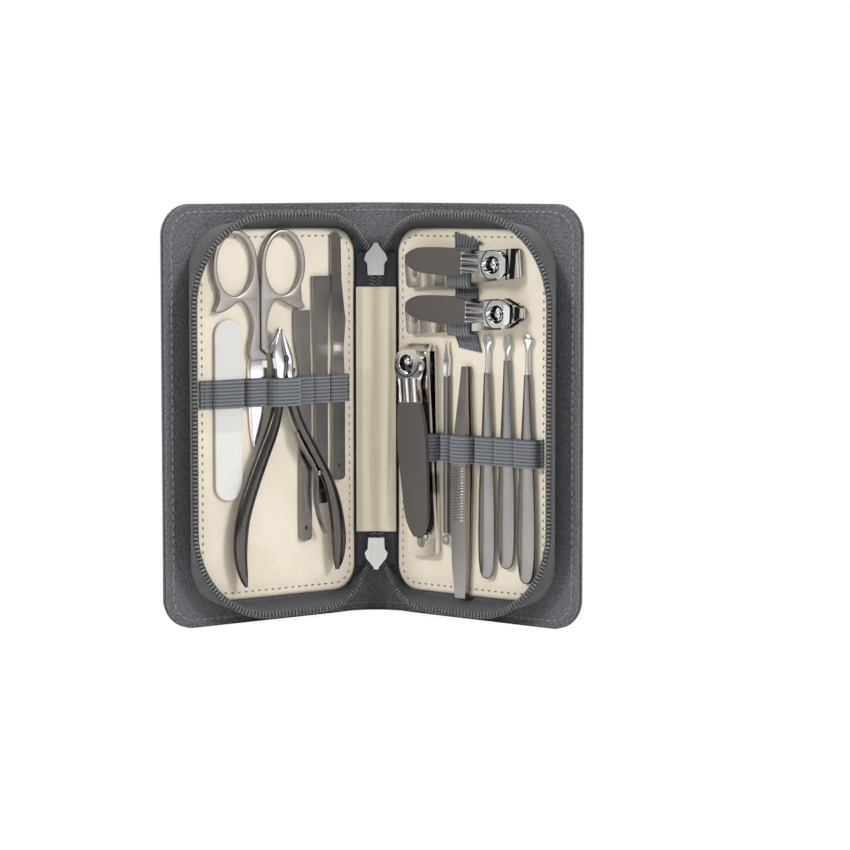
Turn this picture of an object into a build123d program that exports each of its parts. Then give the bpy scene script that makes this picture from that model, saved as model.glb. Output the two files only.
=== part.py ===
"""Zip-round manicure case, standing open like a book, with its fourteen tools in elastic loops."""
import os
from math import cos, degrees, radians, sin, tan

from build123d import *

os.makedirs("parts", exist_ok=True)

# ---------------------------------------------------------------- driving dimensions (mm)
# Case
case_height = 160.0
cover_width = 82.0            # hinge line to outer edge
cover_corner = 12.0
open_angle = 37.0             # each cover, measured from flat
skin = 1.0                    # outer leather
board = 1.2                   # stiffener
facing = 1.0                  # inner leather
half_depth = 11.0             # inner face of a cover to the closing plane
soft_gap = 0.3                # free space between pieces that move apart

# Spine
spine_leather = 1.2
lining_thick = 0.8
lining_half_width = 8.2
lining_low = 31.8
lining_high = 127.4

# Pocket panels and the gusset wall round them
panel_thick = 2.0
panel_low = 9.2
panel_high = 150.4
panel_outer = 69.8
panel_inner_corner = 10.0
panel_outer_corner = 15.0
wall_thick = 0.8
wall_base_gap = 0.3
rim_outer = 75.0              # gusset rim, from the hinge line
rim_low = 3.6
rim_high = 155.5
rim_corner = 34.0
wall_start = 2.2              # where the wall begins beside the spine
wall_full = 17.0              # where it reaches its full height
wall_start_height = 2.6
chain_height = 2.2
chain_half_thick = 1.2

# Zip ends on the spine
tape_forward = 1.2            # tape face, forward of the hinge line
tape_thick = 0.8
tape_half_width = 7.4
tape_tuck = 12.0              # tape behind the lining
tape_reach = 13.0             # tape past the lining
stub_half_width = 3.0
stub_thick = 1.4
stub_grip = 4.8               # closed chain inside a slider
top_slider_gap, bottom_slider_gap = 4.6, 2.3     # lining end to slider
slider_stem = 3.1             # half width where the closed chain leaves
slider_half_width = 4.5
slider_length = 12.4
slider_plate = 1.1
slider_neck = 4.4             # length of the narrow part
slider_travel = 2.5
wedge_half_width = 0.8
lug_half_width = 1.0
lug_height = 2.1
lug_length = 5.0
pull_pin = 0.6
pull_half_width = 2.7
pull_arm = 1.0
pull_thick = 1.2
pull_length = 22.0
pull_neck = 8.0               # pin to the top of the leather tab

# Elastic loops
elastic = 0.8
elastic_width = 10.8
left_loop_low = 83.0
right_loop_low = 60.8
loop_gap = 0.35

# Metal
lie = 0.3                     # a tool's height above its panel
running = 0.05
tools_inward = 0.9            # the left cover's flat tools, from where they are drawn
file_u, file_width, file_thick = 56.3, 12.0, 1.3
file_low, file_high = 47.8, 116.5
pusher_thick = 1.3
pusher_spans = [(19.6, 24.9), (12.0, 17.8), (4.0, 9.8)]   # shanks, from the hinge line
blade_thick = 0.85
joint_clear = 1.1             # round a lapped joint, so that its halves can turn
blade_span = (40.4, 48.0)
nipper_thick = 4.4
nipper_span = (27.6, 38.6)
pick_thick = 3.2
large_width, large_height, large_leaf = 13.6, 6.8, 1.6
large_u, large_low, large_length = 12.0, 23.6, 82.4
rod_gap, rod_radius = 2.7, 1.3     # each tool's gap is to its neighbour on the spine's side
rod_u = large_u + large_width / 2 + rod_gap + rod_radius
tweezer_gap, tweezer_width, tweezer_height = 2.3, 7.0, 5.5
tweezer_u = rod_u + rod_radius + tweezer_gap + tweezer_width / 2
tweezer_lean = 1.7            # outward, degrees
pick_gaps, pick_half_widths = (4.9, 1.4, 1.3), (3.9, 4.0, 4.2)
small_width, small_height, small_leaf = 11.6, 6.4, 1.3
small_u = 3.6
pin_back = 6.6                # a clipper's pin, from its jaw
leaf_root, leaf_crown = 7.0, 8.0   # where an upper leaf starts to rise, and its crown from the jaw
pointed_level = large_low + large_length + small_width / 2 + 3.3
straight_level = pointed_level + small_width + 6.1
clipper_loop = 5.2            # leaves under the band, at its outer edge

# ---------------------------------------------------------------- derived sizes
cover = skin + board + facing
hinge_depth = cover / 2
half_spine = half_depth + hinge_depth
tilt = radians(open_angle)
spine_radius = half_spine / sin(tilt)
back_reach = half_spine * (1 - cos(tilt)) / sin(tilt) + spine_leather / 2
rim_height = half_depth - soft_gap / 2
front_reach = (rim_outer + chain_half_thick) * sin(tilt) + (rim_height + hinge_depth) * cos(tilt)
hinge_y = (front_reach - back_reach) / 2
bed = panel_thick + lie       # height of a tool's underside over the cover
pick_places = []              # centre and half width
pick_edge = tweezer_u + tweezer_width / 2
for pick_gap, pick_half in zip(pick_gaps, pick_half_widths):
    pick_places.append((pick_edge + pick_gap + pick_half, pick_half))
    pick_edge += pick_gap + 2 * pick_half
left, right = -1, 1


def wing(side, height=0.0):
    """Plane parallel to one cover: local x runs outward for the right cover, inward for the left."""
    lift = height + hinge_depth
    origin = (side * (half_spine - lift * sin(tilt)), hinge_y - lift * cos(tilt), 0)
    return Plane(origin, x_dir=(cos(tilt), -side * sin(tilt), 0), z_dir=(-side * sin(tilt), -cos(tilt), 0))


def across(side, level):
    """Plane square to the cover and level with the floor: local x outward, local y off the cover."""
    lift = hinge_depth
    origin = (side * (half_spine - lift * sin(tilt)), hinge_y - lift * cos(tilt), level)
    return Plane(origin, x_dir=(side * cos(tilt), -sin(tilt), 0), z_dir=(0, 0, -side))


def left_tools(height):
    """The left cover's plane at that height, moved inward to where its flat tools lie."""
    plane = wing(left, height)
    return Plane(plane.origin + plane.x_dir * tools_inward, x_dir=plane.x_dir, z_dir=plane.z_dir)


def tool_plane(side, u, level, height, turn=0.0):
    """Plane on the cover at (u, level), its local x turned from the outward direction."""
    base = wing(side, height)
    origin = base.from_local_coords((side * u, level, 0))
    heading = base.x_dir * cos(radians(turn)) + base.y_dir * sin(radians(turn))
    return Plane(origin, x_dir=heading, z_dir=base.z_dir)


def save(part, name):
    part.label = name
    export_step(part, f"parts/{name}.step")


def rounded(side, inner, outer, low, high, inner_corner, outer_corner, mode=Mode.ADD):
    """Rounded rectangle on a cover, its corners smaller or larger beside the spine than at the outer edge."""
    with BuildLine() as outline:
        FilletPolyline(
            (side * inner, low),
            (side * inner, high),
            (side * outer, high),
            (side * outer, low),
            close=True,
            radius=[inner_corner, inner_corner, outer_corner, outer_corner],
        )
    make_face(outline.edges(), mode=mode)


# ---------------------------------------------------------------- covers
def cover_layer(side, name, low, high):
    """One layer of a cover; together the layers have a full-round edge at the hinge line."""
    with BuildPart() as layer:
        with BuildSketch(across(side, 0)):
            with Locations((0, -hinge_depth)):
                Circle(hinge_depth)
            with Locations((cover_width / 2, -hinge_depth)):
                Rectangle(cover_width, cover)
        extrude(amount=-side * case_height)
        with BuildSketch(wing(side, low)):
            rounded(side, -cover, cover_width, 0, case_height, soft_gap, cover_corner)
        extrude(amount=high - low, mode=Mode.INTERSECT)
    save(layer.part, name)


def panel(side, name):
    """Padded cream board inside a cover."""
    with BuildPart() as board_part:
        with BuildSketch(wing(side)):
            rounded(side, 0, panel_outer, panel_low, panel_high, panel_inner_corner, panel_outer_corner)
        extrude(amount=panel_thick)
        top = board_part.faces().sort_by(lambda face: face.center().dot(wing(side).z_dir))[-1]
        fillet(top.edges(), panel_thick / 3)
    save(board_part.part, name)


def gusset(side, name):
    """Fabric wall round three sides, leaning out to the rim and falling away beside the spine."""
    wall_height = rim_height - chain_height
    grow = wall_height / rim_height
    base_outer = panel_outer + wall_base_gap + wall_thick
    base_low = panel_low - wall_base_gap - wall_thick
    base_high = panel_high + wall_base_gap + wall_thick
    top_outer = base_outer + (rim_outer - base_outer) * grow
    top_low = base_low + (rim_low - base_low) * grow
    top_high = base_high + (rim_high - base_high) * grow
    corner_base = panel_outer_corner + wall_base_gap + wall_thick
    corner_top = corner_base + (rim_corner - corner_base) * grow
    inner_corner = panel_inner_corner + wall_thick
    with BuildPart() as wall:
        for inset, mode in ((0, Mode.ADD), (wall_thick, Mode.SUBTRACT)):
            with BuildSketch(wing(side)):
                rounded(side, -inset - wall_thick, base_outer - inset, base_low + inset, base_high - inset,
                        inner_corner - inset, corner_base - inset)
            with BuildSketch(wing(side, wall_height)):
                rounded(side, -inset - wall_thick, top_outer - inset, top_low + inset, top_high - inset,
                        inner_corner - inset, corner_top - inset)
            loft(mode=mode)
        with BuildSketch(across(side, 0)):
            with BuildLine():
                Polyline(
                    (-2 * wall_start, -1),
                    (wall_start, -1),
                    (wall_start, wall_start_height),
                    (wall_full, wall_height),
                    (wall_full, wall_height + 1),
                    (-2 * wall_start, wall_height + 1),
                    close=True,
                )
            make_face()
        extrude(amount=-side * case_height, mode=Mode.SUBTRACT)
    save(wall.part, name)


def chain(side, name):
    """Half of the zip chain, along the rim."""
    low_face = rim_height - chain_height
    with BuildPart() as teeth:
        with BuildSketch(wing(side, low_face)):
            for grow, mode in ((chain_half_thick, Mode.ADD), (-chain_half_thick, Mode.SUBTRACT)):
                rounded(side, -wall_full - grow, rim_outer + grow, rim_low - grow, rim_high + grow,
                        rim_corner + grow, rim_corner + grow, mode=mode)
        extrude(amount=chain_height)
        with BuildSketch(wing(side, low_face)):
            with Locations((side * (wall_full - cover_width), case_height / 2)):
                Rectangle(2 * cover_width, 2 * case_height)
        extrude(amount=chain_height, mode=Mode.SUBTRACT)
    save(teeth.part, name)


for side, word in ((left, "left"), (right, "right")):
    cover_layer(side, f"{word}_cover_leather", -cover, -cover + skin)
    cover_layer(side, f"{word}_cover_board", -cover + skin, -facing)
    cover_layer(side, f"{word}_cover_facing", -facing, 0)
    panel(side, f"{word}_panel")
    gusset(side, f"{word}_gusset")
    chain(side, f"{word}_zip_chain")


# ---------------------------------------------------------------- spine
centre_y = hinge_y - spine_radius * cos(tilt)
free_arc = degrees((hinge_depth + soft_gap) / spine_radius)

with BuildPart() as spine:
    with BuildSketch():
        with BuildLine():
            outer = spine_radius + spine_leather / 2
            inner = spine_radius - spine_leather / 2
            start = 90 - open_angle + free_arc
            sweep_angle = 2 * (open_angle - free_arc)
            back = CenterArc((0, centre_y), outer, start, sweep_angle)
            front = CenterArc((0, centre_y), inner, start, sweep_angle)
            Line(back @ 0, front @ 0)
            Line(back @ 1, front @ 1)
        make_face()
    extrude(amount=case_height)
save(spine.part, "spine_leather")

tape_back_y = hinge_y - tape_forward + tape_thick
lining_edge_y = hinge_y - tape_forward - 0.7      # the lining's long edges stand a little forward
lining_back_y = hinge_y - tape_forward - soft_gap / 3

with BuildPart() as lining:
    with BuildSketch(Plane.XY.offset(lining_low)):
        with BuildLine():
            back = ThreePointArc(
                (-lining_half_width, lining_edge_y), (0, lining_back_y), (lining_half_width, lining_edge_y)
            )
            front = ThreePointArc(
                (-lining_half_width, lining_edge_y - lining_thick),
                (0, lining_back_y - lining_thick),
                (lining_half_width, lining_edge_y - lining_thick),
            )
            Line(back @ 0, front @ 0)
            Line(back @ 1, front @ 1)
        make_face()
    extrude(amount=lining_high - lining_low)
save(lining.part, "spine_lining")


def facing_front(y, level):
    """Upright plane seen from the front: local x to the right, local y up from the level."""
    return Plane((0, y, level), x_dir=(1, 0, 0), z_dir=(0, -1, 0))


# ---------------------------------------------------------------- zip ends
def zip_end(up, word, slider_offset):
    """Tape, closed chain, slider and pull at one end of the spine; up is 1 at the top and -1 at the bottom."""
    edge = lining_high if up > 0 else lining_low
    tape_face_y = hinge_y - tape_forward
    stub_reach = slider_offset + stub_grip
    throat = slider_offset + slider_length

    with BuildPart() as tape:
        with BuildSketch(facing_front(tape_back_y, edge)):
            with Locations((0, up * (tape_reach - tape_tuck) / 2)):
                Rectangle(2 * tape_half_width, tape_reach + tape_tuck)
            with Locations((0, up * (stub_reach + tape_reach / 2))):
                Rectangle(2 * (wedge_half_width + soft_gap), tape_reach, mode=Mode.SUBTRACT)
        extrude(amount=tape_thick)
    save(tape.part, f"zip_tape_{word}")

    with BuildPart() as stub:
        with BuildSketch(facing_front(tape_face_y, edge)):
            with Locations((0, up * (soft_gap + stub_reach) / 2)):
                Rectangle(2 * stub_half_width, stub_reach - soft_gap)
        extrude(amount=stub_thick)
    save(stub.part, f"zip_stub_{word}")

    plate_outline = [
        (-slider_stem, slider_offset),
        (-slider_stem - 0.2, slider_offset + slider_neck),
        (-slider_half_width, slider_offset + slider_neck + 1.6),
        (-slider_half_width + 0.7, throat - 4.2),
        (-1.1, throat - 0.9),
        (-0.9, throat),
    ]
    front_face_y = tape_face_y - stub_thick - soft_gap
    back_face_y = tape_back_y + soft_gap
    lug_level = slider_offset + slider_length / 2
    pin_y = back_face_y + slider_plate + lug_height / 2
    with BuildPart() as slider:
        for plate_y in (front_face_y, back_face_y + slider_plate):
            with BuildSketch(facing_front(plate_y, edge)):
                with BuildLine():
                    right_side = Polyline([(-x, up * z) for x, z in plate_outline])
                    left_side = Polyline([(x, up * z) for x, z in plate_outline])
                    Line(right_side @ 0, left_side @ 0)
                    Line(right_side @ 1, left_side @ 1)
                make_face()
            extrude(amount=slider_plate)
        with BuildSketch(facing_front(back_face_y, edge)):
            with Locations((0, up * (throat - 1.6))):
                Rectangle(2 * wedge_half_width, 2.6)
        extrude(until=Until.NEXT)
        with BuildSketch(Plane.YZ.offset(-lug_half_width)):
            with Locations((back_face_y + slider_plate, edge + up * lug_level)):
                SlotOverall(lug_length, 2 * lug_height, rotation=90)
            with Locations((pin_y, edge + up * lug_level)):
                Circle(pull_pin + running, mode=Mode.SUBTRACT)
            with Locations((back_face_y - lug_length / 2 + slider_plate / 2, edge + up * lug_level)):
                Rectangle(lug_length, 2 * lug_length, mode=Mode.SUBTRACT)
        extrude(amount=2 * lug_half_width)
    save(slider.part, f"zip_slider_{word}")

    arm_x = lug_half_width + soft_gap
    with BuildPart() as pull:
        with BuildSketch(Plane.YZ.offset(-arm_x - pull_arm)):
            with Locations((pin_y, edge + up * lug_level)):
                Circle(pull_pin)
        extrude(amount=2 * (arm_x + pull_arm))
        for side in (left, right):
            with BuildSketch(facing_front(pin_y + pull_thick / 2, edge + up * lug_level)):
                with Locations((side * (arm_x + pull_arm / 2), -up * pull_neck / 2)):
                    Rectangle(pull_arm, pull_neck + 2 * pull_pin)
            extrude(amount=pull_thick)
        with BuildSketch(facing_front(pin_y + pull_thick / 2, edge + up * lug_level)):
            with Locations((0, -up * (pull_neck + pull_length) / 2)):
                RectangleRounded(2 * pull_half_width, pull_length - pull_neck, 1.2)
        extrude(amount=pull_thick)
    save(pull.part, f"zip_pull_{word}")


zip_end(1, "top", top_slider_gap)
zip_end(-1, "bottom", bottom_slider_gap)


# ---------------------------------------------------------------- tools that lie along the case
def pick(name, u, half_width, foot, shoulder, tip, tip_outline):
    """Slim handle with a rod and a flat working tip."""
    body = shoulder - foot
    with BuildPart() as tool:
        with BuildSketch(tool_plane(right, u, 0, bed)):
            with BuildLine():
                right_edge = Spline(
                    (1.3, shoulder),
                    (0.62 * half_width, shoulder - 0.30 * body),
                    (0.95 * half_width, shoulder - 0.58 * body),
                    (half_width, foot + 0.18 * body),
                    (0.75 * half_width, foot + 0.04 * body),
                )
                mirror(right_edge, Plane.YZ)
                Line((1.3, shoulder), (-1.3, shoulder))
                ThreePointArc(
                    (0.75 * half_width, foot + 0.04 * body), (0, foot), (-0.75 * half_width, foot + 0.04 * body)
                )
            make_face()
        extrude(amount=pick_thick)
        chamfer(tool.faces().sort_by(Axis(wing(right).origin, wing(right).z_dir))[-1].edges(), 0.8)
        with BuildSketch(across(right, shoulder - 1)):
            with Locations((u, bed + pick_thick / 2)):
                Circle(0.9)
        extrude(amount=-(tip - shoulder - 2))
        with BuildSketch(tool_plane(right, u, 0, bed + pick_thick / 2 - 0.6)):
            with BuildLine():
                Polyline([(x, tip + z) for x, z in tip_outline], close=True)
            make_face()
        extrude(amount=1.2)
    save(tool.part, name)


diamond_tip = [(-0.8, -6), (-2.1, -3), (-1.2, 0), (1.2, 0), (2.1, -3), (0.8, -6)]
chisel_tip = [(-0.8, -7), (-1.7, -4), (-1.7, 0), (1.7, -1.5), (1.7, -4), (0.8, -7)]
spoon_tip = [(-0.8, -6), (-1.9, -3.6), (-1.9, -1.4), (-0.9, 0), (0.9, 0), (1.9, -1.4), (1.9, -3.6), (0.8, -6)]
pick("pick_diamond", *pick_places[0], 17.0, 96.0, 110.6, diamond_tip)
pick("pick_chisel", *pick_places[1], 21.5, 101.0, 110.6, chisel_tip)
pick("pick_spoon", *pick_places[2], 16.5, 96.0, 111.0, spoon_tip)

# Blemish tool: rod with a loop at the foot and a spear at the top
with BuildPart() as loop_tool:
    with BuildSketch(across(right, 33.0)):
        with Locations((rod_u, bed + rod_radius)):
            Circle(rod_radius)
    extrude(amount=-61.0)
    with BuildSketch(tool_plane(right, rod_u, 0, bed + rod_radius - 0.5)):
        with Locations((0, 30.6)):
            Circle(2.0)
            Circle(1.15, mode=Mode.SUBTRACT)
        with Locations((0, 32.6)):
            Rectangle(1.2, 1.8)
        with BuildLine():
            Polyline((-0.9, 93.5), (-1.4, 100), (0, 108), (1.4, 100), (0.9, 93.5), close=True)
        make_face()
    extrude(amount=1.0)
save(loop_tool.part, "blemish_tool")

# Tweezers: two sprung arms joined at the foot
foot_level, tip_level, bow_level = 8.6, 98.0, 55.0
with BuildPart() as tweezers:
    arm = 1.1
    edge_point = across(right, 0).from_local_coords((tweezer_u - tweezer_width / 2, 0, 0))
    off_cover = across(right, 0).y_dir
    outward = across(right, 0).x_dir
    with BuildSketch(Plane(edge_point, x_dir=off_cover, z_dir=outward)) as side_view:
        with BuildLine():
            Polyline((bed, -foot_level), (bed, -tip_level), (bed + arm, -tip_level), (bed + arm, -foot_level - 7),
                     (bed + arm + 1.1, -bow_level), (bed + 2.4, -tip_level), (bed + 3.4, -tip_level),
                     (bed + 5.4, -bow_level - 15), (bed + 4.8, -bow_level + 15), (bed + 2 * arm, -foot_level),
                     close=True)
        make_face()
    extrude(amount=tweezer_width)
    with BuildSketch(tool_plane(right, tweezer_u, 0, bed)):
        with BuildLine():
            edge = Spline((2.4, foot_level), (3.5, foot_level + 14), (3.5, bow_level), (2.1, 80), (1.2, tip_level))
            mirror(edge, Plane.YZ)
            Line((2.4, foot_level), (-2.4, foot_level))
            Line((1.2, tip_level), (-1.2, tip_level))
        make_face()
    extrude(amount=10, mode=Mode.INTERSECT)
foot_axis = Axis(tool_plane(right, tweezer_u, foot_level, bed).origin, wing(right).z_dir)
save(tweezers.part.rotate(foot_axis, -tweezer_lean), "tweezers")


# ---------------------------------------------------------------- left cover's flat tools
with BuildPart() as nail_file:
    with BuildSketch(tool_plane(left, file_u, (file_low + file_high) / 2, bed)):
        SlotOverall(file_high - file_low, file_width, rotation=90)
    extrude(amount=file_thick)
    fillet(nail_file.edges(), 0.4)
save(nail_file.part, "nail_file")


def pusher(name, outline, hole_u, hole_level):
    """Flat pusher; its outline is (u, level) points."""
    with BuildPart() as tool:
        with BuildSketch(left_tools(bed)):
            with BuildLine():
                Polyline([(-u, level) for u, level in outline], close=True)
            make_face()
            with Locations((-hole_u, hole_level)):
                Circle(0.75, mode=Mode.SUBTRACT)
        extrude(amount=pusher_thick)
        upright = tool.edges().filter_by(Axis(wing(left).origin, wing(left).z_dir))
        fillet(upright.group_by(Axis.Z)[0], 1.8)
    save(tool.part, name)


pusher("pusher_wide", [(20.2, 119), (20.0, 104), (19.6, 94), (19.6, 30), (24.9, 30), (24.9, 96), (27.2, 108),
                       (27.4, 119)], 22.3, 35.0)
pusher("pusher_square", [(10.6, 132), (11.6, 118), (12.0, 96), (12.0, 44), (17.6, 44), (17.8, 96), (18.6, 120),
                         (18.9, 132)], 14.8, 49.0)
pusher("pusher_round", [(7.2, 148.6), (5.9, 146.8), (5.5, 130), (4.2, 119), (3.6, 115), (4.6, 104), (4.0, 90),
                        (4.0, 52.7), (9.8, 52.7), (9.8, 90), (9.4, 104), (9.9, 116), (10.2, 130), (10.2, 146.8),
                        (9.0, 148.6)], 6.9, 58.3)


# ---------------------------------------------------------------- scissors
scissor_thick = 2.6
blade_stack = 2 * blade_thick + running
split_u, split_gap = 43.4, 0.4
shank_end = 100.8
pivot_u, pivot_level = 44.2, 89.5
screw_radius = 1.2
ring_level, ring_half_width, ring_half_height, ring_band = 136.8, 8.0, 11.5, 2.1


def scissor_half(name, hand, blade_low, ring_u, tang, body):
    """Finger ring and shank at full thickness, with a blade on its own level; hand is 1 for the outer half."""
    with BuildPart() as half:
        with BuildSketch(left_tools(bed)):
            with Locations((-ring_u, ring_level)):
                Ellipse(ring_half_width + ring_band, ring_half_height + ring_band)
            for outline in (tang, body):
                with BuildLine():
                    Polyline([(-u, level) for u, level in outline], close=True)
                make_face()
            with Locations((-ring_u, ring_level)):
                Ellipse(ring_half_width, ring_half_height, mode=Mode.SUBTRACT)
            with Locations((-split_u + hand * (20 - split_gap / 2), shank_end + 30)):
                Rectangle(40, 60, mode=Mode.SUBTRACT)
        extrude(amount=scissor_thick)
        for low, high in ((-1, blade_low), (blade_low + blade_thick, scissor_thick + 1)):
            with BuildSketch(left_tools(bed + low)):
                with Locations((-split_u, shank_end + joint_clear - 30)):
                    Rectangle(40, 60)
            extrude(amount=high - low, mode=Mode.SUBTRACT)
        with BuildSketch(left_tools(bed)):
            with Locations((-pivot_u, pivot_level)):
                Circle(screw_radius + running)
        extrude(amount=scissor_thick, mode=Mode.SUBTRACT)
    save(half.part, name)


outer_tang = [(62.6, 128.2), (61.9, 124.4), (62.6, 122.3), (64.0, 119.9), (62.6, 119.2), (59.4, 119.6),
              (56.2, 121.2), (53.0, 123.1), (50.5, 122.7), (48.2, 119.6), (44.5, 117), (43.8, 140), (46, 140), (50, 127)]
outer_body = [(43.5, 140), (43.5, 104.4), (40.6, 102), (40.4, 91), (42.5, 76), (45.4, 68.2), (46.2, 68.2), (47.4, 76),
              (48.2, 91), (47.6, 100.8), (48.5, 103.5), (48.4, 106.1), (47.3, 110.5), (46.8, 114.8), (48.2, 119.6),
              (45, 135)]
inner_tang = [(23.7, 129.3), (24.8, 125.8), (24.2, 122.3), (23.0, 121.0), (24.4, 119.6), (26.9, 120.0),
              (30.7, 121.7), (33.9, 123.3), (36.4, 123.1), (38.7, 120.1), (43, 117), (43, 140), (41.5, 140), (37, 127)]
inner_body = [(43.3, 140), (43.3, 106), (46.5, 101.5), (47.6, 91), (46.8, 76), (46.1, 68.5), (45.5, 68.5),
              (42.7, 76), (40.8, 91), (40.0, 102.4), (38.9, 104.5), (39.3, 107.2), (40.3, 111.5), (40.0, 115.8),
              (38.7, 120.1), (42, 138)]
scissor_half("scissors_outer_half", 1, 0.0, 54.6, outer_tang, outer_body)
scissor_half("scissors_inner_half", -1, blade_thick + running, 32.6, inner_tang, inner_body)

with BuildPart() as screw:
    with BuildSketch(left_tools(bed)):
        with Locations((-pivot_u, pivot_level)):
            Circle(screw_radius)
    extrude(amount=blade_stack + running)
    with BuildSketch(left_tools(bed + blade_stack + running)):
        with Locations((-pivot_u, pivot_level)):
            Circle(2.1)
    extrude(amount=0.5)
save(screw.part, "scissors_screw")


# ---------------------------------------------------------------- cuticle nippers
nipper_bed = bed + blade_stack + soft_gap
nipper_u, nipper_level = 33.3, 99.0
lap_radius = 4.2
nipper_pin = 1.6


def nipper_half(name, upper, outline):
    """Jaw, lapped joint and handle; the lap is the upper or the lower half of the thickness."""
    lap = (nipper_thick - running) / 2
    with BuildPart() as half:
        with BuildSketch(wing(left, nipper_bed)):
            with BuildLine():
                Polyline([(-u, level) for u, level in outline], close=True)
            make_face()
            with Locations((-nipper_u, nipper_level)):
                Circle(lap_radius)
        extrude(amount=nipper_thick)
        cut_low = 0 if upper else lap
        with BuildSketch(wing(left, nipper_bed + cut_low)):
            with Locations((-nipper_u, nipper_level)):
                Circle(lap_radius + joint_clear)
        extrude(amount=lap + running, mode=Mode.SUBTRACT)
        with BuildSketch(wing(left, nipper_bed)):
            with Locations((-nipper_u, nipper_level)):
                Circle(nipper_pin + running)
        extrude(amount=nipper_thick, mode=Mode.SUBTRACT)
    save(half.part, name)


outer_handle = [(30.4, 99), (30.2, 102), (30.8, 106), (32.6, 113), (32.9, 113), (33.0, 103.3), (36, 99), (38.6, 82),
                (41.2, 74), (45.7, 64), (50.7, 52), (54.7, 41), (56.2, 33), (55.7, 25), (53.4, 18), (50.6, 14),
                (49.8, 15), (50.6, 24), (50.4, 34), (48.9, 44), (45.6, 54), (41.4, 63), (37.1, 72), (34.8, 81),
                (33.9, 94)]
inner_handle = [(36.2, 99), (36.4, 102), (35.8, 106), (34.0, 113), (33.7, 113), (33.6, 103.3), (30.6, 99), (27.7, 82),
                (23.7, 75), (17.7, 64), (11.7, 53), (7.7, 45), (5.5, 36), (5.2, 29), (6.2, 22), (8.2, 18),
                (10.2, 18), (11.4, 23), (11.7, 30), (12.4, 39), (13.6, 49), (17.0, 56), (20.9, 64), (26.7, 74),
                (29.9, 80), (32.7, 94)]
nipper_half("nippers_outer_half", False, outer_handle)
nipper_half("nippers_inner_half", True, inner_handle)

with BuildPart() as nipper_rivet:
    with BuildSketch(wing(left, nipper_bed)):
        with Locations((-nipper_u, nipper_level)):
            Circle(nipper_pin)
    extrude(amount=nipper_thick + 0.3)
save(nipper_rivet.part, "nippers_pin")

with BuildPart() as spring:
    with BuildSketch(wing(left, nipper_bed + 1)):
        with BuildLine():
            Spline((-27.9, 72.6), (-23.2, 64.2), (-18.9, 56.2), (-18.9, 48.5), (-17.3, 39), (-14.4, 32.6))
        trace(line_width=0.7)
    extrude(amount=2.4)
save(spring.part, "nippers_spring")


# ---------------------------------------------------------------- nail clippers
lever_hinges = {}             # point on each lever's tilt axis, and the axis


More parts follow.
